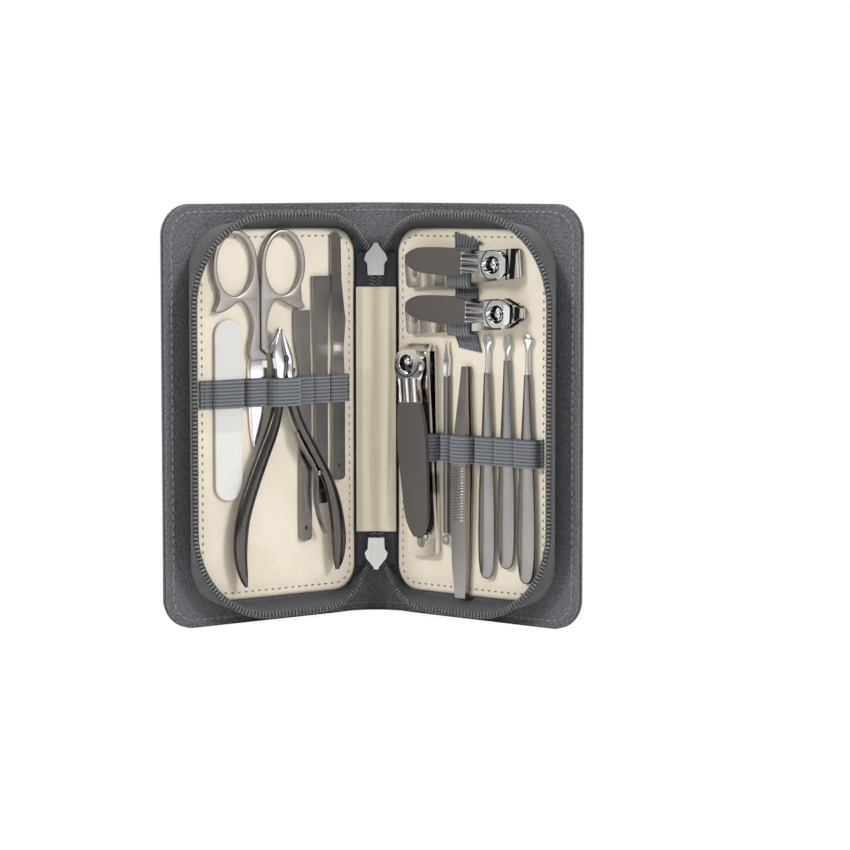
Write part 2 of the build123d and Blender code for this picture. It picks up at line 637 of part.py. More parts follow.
def clipper(name, u, level, turn, length, width, height, leaf, lever_turn, jaw_half_width, tail_gap):
    """Lower and upper leaf joined at the base, a pin through both, and a lever folded back along the top."""
    frame_plane = tool_plane(right, u, level, bed, turn)
    heading, off_bed = frame_plane.x_dir, frame_plane.z_dir
    side_plane = Plane(frame_plane.origin - frame_plane.y_dir * width, x_dir=heading,
                       z_dir=heading.cross(off_bed))
    pin_x = length - pin_back
    pin_radius = 1.3
    mouth = 0.42 * height
    key_hole = 0.17 * width
    lever_rise = 1.3
    lever_top = height + 3.7

    def leaf_part(outline, part_name):
        with BuildPart() as piece:
            with BuildSketch(side_plane):
                with BuildLine():
                    Polyline(outline, close=True)
                make_face()
            extrude(amount=-2 * width)
            with BuildSketch(frame_plane):
                with BuildLine():
                    FilletPolyline((0, -width / 2), (length - 7, -width / 2), (length, -jaw_half_width),
                                   (length, jaw_half_width), (length - 7, width / 2), (0, width / 2),
                                   close=True, radius=[2.0, 2.0, 0.6, 0.6, 2.0, 2.0])
                make_face()
                with Locations((key_hole * 2.4, 0)):
                    Circle(key_hole, mode=Mode.SUBTRACT)
                with Locations((pin_x, 0)):
                    Circle(pin_radius + running, mode=Mode.SUBTRACT)
            extrude(amount=height + 1, mode=Mode.INTERSECT)
        save(piece.part, part_name)

    leaf_part([(0, 0), (length - 1.4, 0), (length, 1.4), (length, mouth - 0.2), (length - 0.8, mouth - 0.2),
               (length - 3, leaf), (0, leaf)], f"{name}_lower_leaf")
    leaf_part([(0, leaf), (8, leaf), (length - 8, height - leaf), (length - 3, height - leaf - 0.6),
               (length - 0.8, mouth + 0.2), (length, mouth + 0.2), (length, mouth + 1.4),
               (length - 2.2, height - 0.5), (length - 5, height), (length - leaf_crown, height), (leaf_root, 2 * leaf),
               (0, 2 * leaf)], f"{name}_upper_leaf")

    hub = Plane(frame_plane.from_local_coords((pin_x, 0, 0)),
                x_dir=heading * cos(radians(lever_turn)) + frame_plane.y_dir * sin(radians(lever_turn)),
                z_dir=off_bed)
    cross_pin, cross_reach = 0.55, 3.8
    tilt_plane = Plane(hub.from_local_coords((0, 0, lever_top - 1.3)), x_dir=hub.x_dir, z_dir=hub.y_dir)
    with BuildPart() as pin:
        with BuildSketch(Plane(frame_plane.from_local_coords((pin_x, 0, 0)), x_dir=heading, z_dir=off_bed)):
            Circle(pin_radius)
        extrude(amount=lever_top + 0.2)
        fillet(pin.faces().sort_by(Axis(frame_plane.origin, off_bed))[-1].edges(), 0.5)
        with BuildSketch(tilt_plane):
            Circle(cross_pin)
        extrude(amount=cross_reach, both=True)
    save(pin.part, f"{name}_pin")

    lever_side = Plane(hub.origin - hub.y_dir * width, x_dir=hub.x_dir, z_dir=hub.x_dir.cross(off_bed))
    tail = -(pin_x - tail_gap)
    half = 0.44 * width
    flank = [(tail, 0.3), (tail + half, 0.82), (tail + 2.6 * half, 1.0), (-20, 1.0), (-15, 0.82), (-9.5, 0.7),
             (-5, 0.92), (-1, 1.0), (2.6, 0.84), (4.6, 0.5)]
    with BuildPart() as lever:
        with BuildSketch(lever_side):
            with BuildLine():
                Polyline((2.5, height + lever_rise), (4.6, height + lever_rise + 0.9), (3, lever_top),
                         (-6, lever_top), (-16, lever_top - 0.6), (tail, 2 * leaf + 3.4), (tail, 2 * leaf + 1.8),
                         (-14, height + lever_rise), (-8, height + lever_rise), close=True)
            make_face()
        extrude(amount=-2 * width)
        with BuildSketch(hub):
            with BuildLine():
                for hand in (-1, 1):
                    Spline([(x, hand * y * half) for x, y in flank])
                Line((tail, -0.3 * half), (tail, 0.3 * half))
                Line((4.6, -0.5 * half), (4.6, 0.5 * half))
            make_face()
            with Locations((-1.4, 0)):
                SlotOverall(7.6, 5.2, mode=Mode.SUBTRACT)
        extrude(amount=lever_top + 1, mode=Mode.INTERSECT)
        with BuildSketch(tilt_plane):
            Circle(cross_pin + running)
        extrude(amount=cross_reach + running, both=True, mode=Mode.SUBTRACT)
    save(lever.part, f"{name}_lever")
    lever_hinges[name] = (tilt_plane.origin, tilt_plane.z_dir)


clipper("straight_clipper", small_u, straight_level, 5.3, 54.4, small_width, small_height, small_leaf, -7.0, 5.6, 2.6)
clipper("pointed_clipper", small_u, pointed_level, 4.2, 56.4, small_width, small_height, small_leaf, -6.0, 1.6, 2.6)
clipper("large_clipper", large_u, large_low, 91.2, large_length, large_width, large_height, large_leaf, 0.6, 6.6, 7.8)


# ---------------------------------------------------------------- elastic loops
def band(name, plane, start, end, loops, amount):
    """Elastic sewn flat to a panel and raised into a loop over each (low, high, height) of the list."""
    with BuildPart() as strap:
        with BuildSketch(plane):
            with Locations(((start + end) / 2, panel_thick + elastic / 2)):
                Rectangle(end - start, elastic)
            for grow, mode in ((elastic, Mode.ADD), (0, Mode.SUBTRACT)):
                for low, high, height in loops:
                    with Locations(((low + high) / 2, panel_thick)):
                        Rectangle(high - low + 2 * (loop_gap + grow), height + lie + loop_gap + grow,
                                  align=(Align.CENTER, Align.MIN), mode=mode)
        extrude(amount=amount)
    save(strap.part, name)


left_heights = [pusher_thick, pusher_thick, pusher_thick, nipper_bed - bed + nipper_thick + soft_gap,
                blade_stack + running + 0.5, file_thick]
left_spans = [*[(low - tools_inward, high - tools_inward) for low, high in reversed(pusher_spans)], nipper_span,
              (blade_span[0] - tools_inward + loop_gap, blade_span[1] - tools_inward),
              (file_u - file_width / 2, file_u + file_width / 2)]
band("left_elastic", across(left, left_loop_low), 0.6, 68.4,
     [(low, high, height) for (low, high), height in zip(left_spans, left_heights)], elastic_width)

lean_shift = (right_loop_low + elastic_width / 2 - foot_level) * tan(radians(tweezer_lean))
leaf_rise = (right_loop_low + elastic_width - large_low - leaf_root) / (large_length - leaf_root - leaf_crown)
large_loop = 2 * large_leaf + leaf_rise * (large_height - 2 * large_leaf)
right_loops = [
    (large_u - 0.9 - large_width / 2, large_u - 0.7 + large_width / 2, large_loop),
    (rod_u - rod_radius, rod_u + rod_radius, 2 * rod_radius),
    (tweezer_u + lean_shift - tweezer_width / 2, tweezer_u + lean_shift + tweezer_width / 2, tweezer_height),
    *[(u - half_width, u + half_width, pick_thick) for u, half_width in pick_places],
]
band("right_elastic", across(right, right_loop_low), 0.6, 67.4, right_loops, -elastic_width)

clipper_band_u = 26.0
band_start = across(right, 0).from_local_coords((clipper_band_u, 0, 0))
upright = Plane(band_start, x_dir=(0, 0, 1), z_dir=across(right, 0).x_dir)
band("clipper_elastic", upright, pointed_level - 10.1, straight_level + 16.2,
     [(pointed_level - 4.5, pointed_level + 8.5, clipper_loop),
      (straight_level - 4.0, straight_level + 9.2, clipper_loop)], elastic_width)
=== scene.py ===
from math import cos, pi, radians, sin, tan

import bmesh
import bpy
import numpy as np
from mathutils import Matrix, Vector


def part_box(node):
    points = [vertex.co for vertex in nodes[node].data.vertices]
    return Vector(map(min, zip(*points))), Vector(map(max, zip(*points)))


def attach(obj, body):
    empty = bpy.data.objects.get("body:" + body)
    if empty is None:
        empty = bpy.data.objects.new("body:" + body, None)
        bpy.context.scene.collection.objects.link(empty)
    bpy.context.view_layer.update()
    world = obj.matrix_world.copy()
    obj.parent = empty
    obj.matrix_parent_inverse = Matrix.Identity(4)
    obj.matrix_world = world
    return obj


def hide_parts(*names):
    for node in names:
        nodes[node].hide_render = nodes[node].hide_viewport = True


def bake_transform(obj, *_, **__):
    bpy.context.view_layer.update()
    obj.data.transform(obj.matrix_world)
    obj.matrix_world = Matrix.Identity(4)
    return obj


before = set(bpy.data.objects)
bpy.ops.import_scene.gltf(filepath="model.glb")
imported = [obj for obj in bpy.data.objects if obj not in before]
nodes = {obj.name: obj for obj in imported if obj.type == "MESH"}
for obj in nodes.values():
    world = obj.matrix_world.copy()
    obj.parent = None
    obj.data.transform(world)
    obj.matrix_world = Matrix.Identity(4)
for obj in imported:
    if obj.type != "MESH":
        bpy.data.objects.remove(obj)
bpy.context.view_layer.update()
print("frame loaded")

# All lengths are in mm; u runs outward from a cover's hinge line, z up, n off its inner face.
case = {"openAngle": radians(37), "halfSpine": 12.6, "hingeDepth": 1.6,
        "height": 160.0, "coverWidth": 82.0, "coverCorner": 12.0}
openAngle, hingeDepth = case["openAngle"], case["hingeDepth"]
foldRadius = case["halfSpine"] / sin(openAngle)
foldLength = foldRadius * openAngle
panelTop = 2.0
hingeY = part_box("spine_leather")[1].y * 1000 - foldRadius * (1 - cos(openAngle)) - 0.6
centreY = hingeY - foldRadius * cos(openAngle)
left, right = -1, 1
words = {left: "left", right: "right"}


def place(side, u, z, n):  # a point over a cover, or over the folded spine where u is below zero
    u, z, n = np.broadcast_arrays(*(np.asarray(a, float) for a in (u, z, n)))
    lift = n + hingeDepth
    turn = (foldLength + np.minimum(u, 0)) / foldRadius
    along = np.maximum(u, 0)
    x = (foldRadius - lift) * np.sin(turn) + along * cos(openAngle)
    y = centreY + (foldRadius - lift) * np.cos(turn) - along * sin(openAngle)
    return np.stack([side * x, y, z], -1)


def onto(side):
    return lambda u, z, n: place(side, u, z, n)


def ease(value, low, high):
    t = np.clip((value - low) / (high - low), 0, 1)
    return t * t * (3 - 2 * t)


def unit(vectors):
    return vectors / np.maximum(np.linalg.norm(vectors, axis=1), 1e-9)[:, None]


def travelled(path):  # the distance run at each point of a line
    return np.concatenate([[0], np.cumsum(np.linalg.norm(np.diff(path, axis=0), axis=1))])


class Wave:  # a socket that can be used in sums
    def __init__(self, graph, socket):
        self.graph, self.socket = graph, socket

    def calc(self, operation, a, b=0.0, c=0.0):
        made = self.graph.node("ShaderNodeMath", {"operation": operation}, {0: a, 1: b, 2: c})
        return Wave(self.graph, made.outputs[0])

    def __add__(self, other): return self.calc("ADD", self, other)
    def __radd__(self, other): return self.calc("ADD", other, self)
    def __sub__(self, other): return self.calc("SUBTRACT", self, other)
    def __rsub__(self, other): return self.calc("SUBTRACT", other, self)
    def __mul__(self, other): return self.calc("MULTIPLY", self, other)
    def __rmul__(self, other): return self.calc("MULTIPLY", other, self)
    def __truediv__(self, other): return self.calc("DIVIDE", self, other)
    def __pow__(self, other): return self.calc("POWER", self, other)
    def __abs__(self): return self.calc("ABSOLUTE", self)
    def sine(self): return self.calc("SINE", self)
    def least(self, other): return self.calc("MINIMUM", self, other)

    def step(self, low, high):  # smooth ramp from 0 to 1
        made = self.graph.node("ShaderNodeMapRange", {"interpolation_type": "SMOOTHSTEP"},
                               {0: self, 1: low, 2: high, 3: 0.0, 4: 1.0})
        return Wave(self.graph, made.outputs[0])

    def between(self, rise, full, fall, gone):  # a band with soft edges
        return self.step(rise, full) * (1.0 - self.step(fall, gone))


class Graph:  # one material on a Principled shader
    def __init__(self, name, constants):
        self.material = bpy.data.materials.new(name)
        self.material.use_nodes = True
        self.tree = self.material.node_tree
        self.shader = self.tree.nodes["Principled BSDF"]
        for key, value in constants.items():
            self.shader.inputs[key].default_value = value

    def feed(self, socket, value):
        if isinstance(value, Wave):
            self.tree.links.new(value.socket, socket)
        elif isinstance(value, bpy.types.NodeSocket):
            self.tree.links.new(value, socket)
        else:
            opaque = len(np.shape(value)) and len(value) == 3 and socket.type == "RGBA"
            socket.default_value = (*value, 1.0) if opaque else value

    def node(self, kind, settings, inputs):
        made = self.tree.nodes.new(kind)
        for key, value in settings.items():
            setattr(made, key, value)
        for key, value in inputs.items():
            self.feed(made.inputs[key], value)
        return made

    def spot(self, scale=(1000.0, 1000.0, 1000.0)):  # position on the piece, in mm
        coordinate = self.node("ShaderNodeTexCoord", {}, {}).outputs["Object"]
        return self.vector("MULTIPLY", coordinate, scale)

    def cut(self, scale=(1.0, 1.0, 1.0)):  # position on the flat cut, in mm
        coordinate = self.node("ShaderNodeAttribute", {"attribute_name": "cut"}, {}).outputs["Vector"]
        return self.vector("MULTIPLY", coordinate, scale)

    def vector(self, operation, a, b):
        return self.node("ShaderNodeVectorMath", {"operation": operation}, {0: a, 1: b}).outputs[0]

    def dot(self, a, b):
        made = self.node("ShaderNodeVectorMath", {"operation": "DOT_PRODUCT"}, {0: a, 1: b})
        return Wave(self, made.outputs["Value"])

    def parts(self, vector):
        made = self.node("ShaderNodeSeparateXYZ", {}, {0: vector})
        return [Wave(self, made.outputs[i]) for i in range(3)]

    def noise(self, vector, scale, detail=2.0, roughness=0.5):
        made = self.node("ShaderNodeTexNoise", {}, {"Vector": vector, "Scale": scale, "Detail": detail,
                                                    "Roughness": roughness})
        return Wave(self, made.outputs[0])

    def cells(self, vector, scale, feature="F1", smooth=0.0):
        inputs = {"Vector": vector, "Scale": scale}
        if feature == "SMOOTH_F1":
            inputs["Smoothness"] = smooth
        made = self.node("ShaderNodeTexVoronoi", {"feature": feature}, inputs)
        return Wave(self, made.outputs[0])

    def mix(self, factor, a, b):
        made = self.node("ShaderNodeMix", {"data_type": "RGBA"}, {0: factor, 6: a, 7: b})
        return made.outputs[2]

    def colour(self, value): self.feed(self.shader.inputs["Base Color"], value)
    def rough(self, value): self.feed(self.shader.inputs["Roughness"], value)
    def metal(self, value): self.feed(self.shader.inputs["Metallic"], value)

    def relief(self, height, depth, strength=1.0):  # height 0..1, depth in mm
        made = self.node("ShaderNodeBump", {}, {"Height": height, "Distance": depth / 1000, "Strength": strength})
        self.feed(self.shader.inputs["Normal"], made.outputs[0])


def greyLeather(name, lighten=1.0):  # pebbled PU
    g = Graph(name, {"Specular IOR Level": 0.42, "Sheen Weight": 0.08, "Sheen Roughness": 0.4})
    at = g.cut()
    warp = g.noise(at, 0.35, 2)
    bent = g.vector("ADD", at, g.node("ShaderNodeTexNoise", {}, {"Vector": at, "Scale": 0.6}).outputs["Color"])
    pebble = g.cells(bent, 1.15, "SMOOTH_F1", 0.3)
    fine = g.cells(bent, 2.6, "F1")
    creases = g.noise(at, 0.9, 5, 0.62)
    height = 1.0 - pebble * 1.0 - fine * 0.3 + creases * 0.4
    tone = (pebble * 0.7 + creases * 0.35).step(0.2, 0.8)
    high, low, worn = (tuple(c * lighten for c in shade) for shade in (
        (0.165, 0.170, 0.180), (0.072, 0.075, 0.084), (0.112, 0.117, 0.128)))
    base = g.mix(tone, high, low)
    g.colour(g.mix(warp.step(0.3, 0.75) * 0.5, base, worn))
    g.rough(0.46 + pebble * 0.14 - creases * 0.12)
    g.relief(height, 0.26)
    return g.material


def boardEdgeAndShade(name):
    g = Graph(name, {"Roughness": 0.85})
    at = g.cut((0.15, 0.15, 3.0))
    g.colour(g.mix(g.noise(at, 2.0, 3).step(0.3, 0.7), (0.02, 0.021, 0.024), (0.045, 0.047, 0.052)))
    return g.material


def threadLook(name, light, dark):
    g = Graph(name, {"Roughness": 0.75, "Sheen Weight": 0.3})
    x, y, z = g.parts(g.spot())
    ply = ((x + y * 0.6 + z) * 9.0).sine().step(-1, 1)
    g.colour(g.mix(ply, dark, light))
    g.relief(ply, 0.06)
    return g.material


def creamLeather(name):
    g = Graph(name, {"Specular IOR Level": 0.38, "Sheen Weight": 0.12})
    at = g.cut()
    broad = g.noise(at, 0.045, 2)
    fine = g.cells(at, 2.4, "SMOOTH_F1", 0.4)
    creases = g.noise(at, 0.55, 4, 0.55)
    base = g.mix(broad.step(0.3, 0.7), (0.70, 0.625, 0.51), (0.76, 0.695, 0.585))
    g.colour(g.mix((creases * 0.4 + fine * 0.3).step(0.25, 0.6) * 0.35, base, (0.62, 0.54, 0.43)))
    g.rough(0.46 + creases * 0.14)
    g.relief(creases * 0.35 - fine * 0.5, 0.07)
    return g.material


def stripLook(name):  # the same leather, with painted shade darkening it in its long folds
    g = Graph(name, {"Specular IOR Level": 0.38, "Sheen Weight": 0.12})
    at = g.cut()
    x = g.parts(at)[0]
    creases = g.noise(at, 0.5, 4, 0.55)
    drift = x + (creases - 0.5) * 1.2
    paintedFoldShade = (1.0 - abs(drift).step(0.0, 3.0)
              + abs(drift).step(4.4, 6.4) * (1.0 - abs(drift).step(6.6, 8.4) * 0.6))
    # painted shade: the leather's colour is darkened along the folds
    g.colour(g.mix(paintedFoldShade.least(1.0) * 0.62, (0.72, 0.655, 0.53), (0.46, 0.385, 0.275)))
    g.rough(0.46 + creases * 0.14)
    g.relief(creases, 0.07)
    return g.material


def twillLook(name, light, dark, pitch=1.15, lean=1.0):
    g = Graph(name, {"Roughness": 0.88, "Sheen Weight": 0.25, "Sheen Roughness": 0.6})
    x, y, z = g.parts(g.cut())
    wale = ((x + y * lean) * (2 * pi / pitch)).sine().step(-1, 1)
    weft = ((x * lean - y) * (2 * pi / (pitch * 0.7))).sine().step(-1, 1)
    lint = g.noise(g.cut(), 1.6, 4)
    g.colour(g.mix((wale * 0.6 + lint * 0.5).step(0.2, 1.0), dark, light))
    g.relief(wale * 0.8 + weft * 0.3 + lint * 0.2, 0.16)
    return g.material


def elasticLook(name):
    g = Graph(name, {"Roughness": 0.8, "Sheen Weight": 0.35})
    along, across, _ = g.parts(g.cut())
    rib = (across * (2 * pi / 1.35)).sine().step(-0.9, 0.9)
    knit = (along * (2 * pi / 0.75) + rib * 2.0).sine().step(-1, 1)
    g.colour(g.mix(rib * 0.7 + knit * 0.3, (0.052, 0.057, 0.065), (0.185, 0.197, 0.215)))
    g.relief(rib * 0.8 + knit * 0.25, 0.3)
    return g.material


def zipLook(name, light, dark):
    g = Graph(name, {"Specular IOR Level": 0.5})
    speck = g.noise(g.spot(), 1.1, 3)
    g.colour(g.mix(speck.step(0.3, 0.75), dark, light))
    g.rough(0.3 + speck * 0.25)
    return g.material


def metalLook(name, light, dark, low, high, brush=(1.0, 1.0, 1.0), depth=0.004):
    g = Graph(name, {"Metallic": 1.0})
    grain = g.noise(g.spot(tuple(1000 * b for b in brush)), 1.0, 5, 0.65)
    cloud = g.noise(g.spot(), 0.06, 2)
    g.colour(g.mix((grain * 0.6 + cloud * 0.6).step(0.35, 0.85), dark, light))
    g.rough(low + (grain * 0.5 + cloud * 0.5) * (high - low))
    g.relief(grain, depth)
    return g.material


def glassLook(name):
    g = Graph(name, {"Specular IOR Level": 0.45, "IOR": 1.48, "Subsurface Weight": 0.3,
                     "Subsurface Scale": 0.002})
    z = g.parts(g.spot())[2]
    frost = g.noise(g.spot(), 2.6, 4)
    upper = z.step(73.0, 74.6)
    g.colour(g.mix(upper, (0.70, 0.68, 0.65), (0.60, 0.598, 0.575)))
    g.rough(0.36 + frost * 0.2)
    g.relief(frost, 0.02)
    return g.material


grey = greyLeather("caseLeather")
greyInner = greyLeather("innerCaseLeather", 0.82)
# the cover board's dark edge; the same material is used as painted shade in the nippers' pivot gap
darkBoardAndPivotShade = boardEdgeAndShade("boardEdgeAndPivotShade")
cream = creamLeather("creamPanelLeather")
folded = stripLook("foldedStripLeather")
punched = threadLook("punchedHole", (0.30, 0.235, 0.17), (0.17, 0.125, 0.085))
twill = twillLook("gussetTwill", (0.050, 0.052, 0.057), (0.007, 0.007, 0.009))
tapeCloth = twillLook("zipTapeCloth", (0.05, 0.053, 0.06), (0.014, 0.015, 0.018), 0.7, 0.4)
ribbed = elasticLook("loopElastic")
coilDark = zipLook("zipCoil", (0.16, 0.165, 0.175), (0.06, 0.063, 0.07))
toothGrey = zipLook("zipTeeth", (0.19, 0.188, 0.185), (0.075, 0.075, 0.076))
cordBlack = twillLook("zipCord", (0.014, 0.014, 0.016), (0.004, 0.004, 0.005))
threadGrey = threadLook("greyThread", (0.27, 0.272, 0.278), (0.13, 0.132, 0.14))
threadPale = threadLook("paleThread", (0.42, 0.41, 0.385), (0.24, 0.235, 0.22))
threadDark = threadLook("darkThread", (0.07, 0.075, 0.085), (0.03, 0.032, 0.038))
gunmetal = metalLook("satinGunmetal", (0.355, 0.337, 0.328), (0.295, 0.28, 0.272), 0.2, 0.3, (1.2, 1.2, 0.12), 0.002)
darkGrip = metalLook("darkGripMetal", (0.125, 0.116, 0.111), (0.092, 0.085, 0.081), 0.14, 0.24, (1.2, 1.2, 0.2), 0.002)
satin = metalLook("satinHandle", (0.43, 0.40, 0.38), (0.35, 0.325, 0.31), 0.36, 0.5, (2, 2, 2))
bladeSteel = metalLook("polishedBlade", (0.88, 0.88, 0.89), (0.74, 0.74, 0.75), 0.07, 0.16, (3, 3, 0.4))
chrome = metalLook("polishedChrome", (0.88, 0.88, 0.88), (0.76, 0.755, 0.75), 0.05, 0.12)
sliderSilver = metalLook("paleSlider", (0.70, 0.69, 0.67), (0.52, 0.51, 0.495), 0.26, 0.4, (2.5, 2.5, 0.15), 0.02)


def rodLook(name):
    g = Graph(name, {"Metallic": 1.0})
    z = g.parts(g.spot())[2]
    grain = g.noise(g.spot((3000, 3000, 400)), 1.0, 4)
    steel = (z.step(93.6, 94.2) + z.step(33.4, 32.8)).least(1.0)
    g.colour(g.mix(steel, g.mix(grain, (0.17, 0.155, 0.15), (0.26, 0.242, 0.235)), (0.86, 0.86, 0.86)))
    g.rough(0.28 - steel * 0.16 + grain * 0.08)
    return g.material


def leverLook(name, hub, heading):  # dark enamel behind, fluted chrome round the pin, with painted shade in the flutes' grooves and in a crescent by the pin
    g = Graph(name, {})
    offset = g.vector("SUBTRACT", g.spot(), tuple(hub))
    run = g.dot(offset, tuple(heading))
    enamel = run.step(15.6, 16.0)
    grain = g.noise(g.spot((2000, 2000, 2000)), 1.0, 4)
    side = tuple(np.cross(heading, (0.6, 0.8, 0.0)))
    across = g.dot(offset, side)
    behind = ((run - 1.0) * (run - 1.0) + across * across) ** 0.5
    around = (run * run + across * across) ** 0.5
    # painted shade: the crescent by the pin and the flutes' grooves are darkened where the bump sinks them
    crescent = around.step(1.7, 1.95) * (1.0 - behind.step(3.2, 3.5))
    rimLine = around.between(5.6, 5.9, 6.2, 6.6) * run.step(0.0, 1.0)
    fluted = run.step(6.4, 7.6) * (1.0 - enamel)
    flute = (across * 1.75).sine().step(-1, 1) * fluted
    metal = g.mix(flute, (0.88, 0.875, 0.87), (0.36, 0.31, 0.30))
    g.colour(g.mix(enamel, g.mix((crescent + rimLine * 0.8).least(1.0), metal, (0.012, 0.012, 0.013)),
                   g.mix(grain, (0.078, 0.070, 0.067), (0.105, 0.095, 0.091))))
    g.metal(1.0 - enamel * 0.75)
    g.rough(0.08 + enamel * 0.32 + grain * 0.05)
    g.relief(flute * -1.0 - crescent * 1.2 + grain * 0.03, 0.35)
    return g.material


def leafLook(name, hub, heading, tail, jawShadeStrength):  # polished leaf, with painted shade in bands and a patch behind its jaw, and a painted shade ring round the key ring's hole
    g = Graph(name, {"Metallic": 1.0})
    offset = g.vector("SUBTRACT", g.spot(), tuple(hub))
    run = g.dot(offset, tuple(heading))
    side = tuple(np.cross(heading, (0.6, 0.8, 0.0)))
    across = g.dot(offset, side)
    ring = ((run - tail) * (run - tail) + across * across) ** 0.5
    # painted shade: dark bands and a patch behind the jaw, and a dark ring where the key ring's hole sinks
    band = run.between(-6.3, -6.1, -4.6, -4.4) + run.between(-3.8, -3.6, -3.0, -2.8)
    shade = run.between(0.62 * tail, 0.66 * tail, 0.74 * tail, 0.78 * tail) * 0.65
    rimLine = ring.between(2.3, 2.5, 3.0, 3.2) * 0.8
    grain = g.noise(g.spot(), 1.0, 4)
    g.colour(g.mix((band * jawShadeStrength + shade + rimLine).least(1.0), (0.86, 0.85, 0.835), (0.03, 0.03, 0.032)))
    g.rough(0.06 + grain * 0.07)
    g.relief(ring.between(2.2, 2.6, 2.9, 3.3), 0.15)
    return g.material


rodSteel = rodLook("rodSteel")
frosted = glassLook("frostedFile")
print("materials made")


def build(name, points, faces, material, cut):  # points in mm
    mesh = bpy.data.meshes.new(name)
    points = np.asarray(points, float).reshape(-1, 3)
    mesh.from_pydata((points / 1000).tolist(), [], [list(map(int, f)) for f in faces])
    spot = mesh.attributes.new("cut", "FLOAT_VECTOR", "POINT")
    spot.data.foreach_set("vector", np.asarray(cut, float).reshape(-1).astype(np.float32))
    piece = bpy.data.objects.new(name, mesh)
    bpy.context.scene.collection.objects.link(piece)
    mesh.materials.append(material)
    work = bmesh.new()
    work.from_mesh(mesh)
    bmesh.ops.remove_doubles(work, verts=work.verts, dist=1e-7)
    bmesh.ops.recalc_face_normals(work, faces=work.faces)
    for face in work.faces:
        face.smooth = True
    work.to_mesh(mesh)
    work.free()
    return piece


def quads(rows, cols, wrapCols=False, start=0):
    i = np.arange(rows - 1)[:, None]
    j = np.arange(cols if wrapCols else cols - 1)[None, :]
    a, b = start + i * cols, start + (i + 1) * cols
    return np.stack([a + j, a + (j + 1) % cols, b + (j + 1) % cols, b + j], -1).reshape(-1, 4)


def slab(rows, cols, flip=False):  # faces of two layers of points, joined round their edge
    layer = rows * cols
    rim = [i * cols for i in range(rows)] + [(rows - 1) * cols + j for j in range(1, cols)] + [
        i * cols + cols - 1 for i in range(rows - 2, -1, -1)] + list(range(cols - 2, 0, -1))
    back = quads(rows, cols, start=layer)
    return [*quads(rows, cols), *(back[:, ::-1] if flip else back),
            *[(a, b, b + layer, a + layer) for a, b in zip(rim, rim[1:] + rim[:1])]]


def sharpen(piece, angle):
    work = bmesh.new()
    work.from_mesh(piece.data)
    for edge in work.edges:
        if len(edge.link_faces) == 2 and edge.calc_face_angle(0) > radians(angle):
            edge.smooth = False
    work.to_mesh(piece.data)
    work.free()


def marks(low, high, step, edge=(0.0, 0.12, 0.3, 0.6, 1.1, 1.9, 3.0)):  # rows packed towards both ends
    inner = np.linspace(low + edge[-1], high - edge[-1], max(3, int((high - low) / step)))
    return np.concatenate([low + np.array(edge[:-1]), inner, high - np.array(edge[-2::-1])])


def frameEdges(u, low, high, uLow, uHigh, cornerLow, cornerHigh):  # where a column starts and ends
    near = np.clip(uLow + cornerLow - u, 0, cornerLow)
    far = np.clip(u - uHigh + cornerHigh, 0, cornerHigh)
    drop = cornerLow - np.sqrt(np.maximum(cornerLow**2 - near**2, 0)) + cornerHigh - np.sqrt(
        np.maximum(cornerHigh**2 - far**2, 0))
    return low + drop, high - drop


def edgeDistance(u, z, low, high, uLow, uHigh, cornerLow, cornerHigh):
    found = np.minimum(np.minimum(u - uLow, uHigh - u), np.minimum(z - low, high - z))
    for corner, cu in ((cornerLow, uLow + cornerLow), (cornerHigh, uHigh - cornerHigh)):
        du = (cu - u) if corner is cornerLow and cu < (uLow + uHigh) / 2 else (u - cu)
        dz = np.maximum(low + corner - z, z - high + corner)
        inside = (du > 0) & (dz > 0)
        found = np.where(inside, corner - np.hypot(du, dz), found)
    return np.maximum(found, 0)


def plate(name, side, shape, top, bottom, soft, material, step=2.2, waves=None, meets=False):
    uLow, uHigh, low, high, cornerLow, cornerHigh = shape
    us = marks(uLow, uHigh, step)
    bend = np.linspace(0, pi / 2, 9)
    us = np.unique(np.round(np.concatenate([us, uHigh - cornerHigh * (1 - np.sin(bend)),
                                            uLow + cornerLow * (1 - np.sin(bend))]), 3))
    us = us[(us >= uLow) & (us <= uHigh)]
    share = marks(0, high - low, step) / (high - low)
    start, end = frameEdges(us, low, high, uLow, uHigh, cornerLow, cornerHigh)
    u = np.repeat(us[:, None], len(share), 1)
    z = start[:, None] + (end - start)[:, None] * share[None, :]
    d = edgeDistance(u, z, low, high, uLow - (20 if meets else 0), uHigh, cornerLow, cornerHigh)
    drop = soft - np.sqrt(np.maximum(soft**2 - np.maximum(soft - d, 0) ** 2, 0))
    face = top(u, z, d) - drop
    back = bottom(u, z, d) + drop * (0 if soft > 1 else 1)
    if waves is not None:
        face = face + waves(u, z, d)
    rows, cols = u.shape
    cut = np.concatenate([np.stack([u, z, face], -1).reshape(-1, 3), np.stack([u, z, back], -1).reshape(-1, 3)])
    return build(name, place(side, *cut.T), slab(rows, cols, True), material,
                 (cut + (foldLength, 0, 0)) * (side, 1, 1))


def resample(path, pitch):  # even steps along a polyline
    path = np.asarray(path, float)
    run = travelled(path)
    count = max(2, int(round(run[-1] / pitch)) + 1)
    at = np.linspace(0, run[-1], count)
    return np.stack([np.interp(at, run, path[:, k]) for k in range(path.shape[1])], -1)


def smoothLine(points, count=12):  # Catmull-Rom through the points
    p = np.asarray(points, float)
    p = np.concatenate([[2 * p[0] - p[1]], p, [2 * p[-1] - p[-2]]])
    t = np.linspace(0, 1, count, endpoint=False)[:, None]
    made = [0.5 * (2 * b + (c - a) * t + (2 * a - 5 * b + 4 * c - d) * t**2 + (3 * b - a - 3 * c + d) * t**3)
            for a, b, c, d in zip(p[:-3], p[1:-2], p[2:-1], p[3:])]
    return np.concatenate([*made, p[-2:-1]])


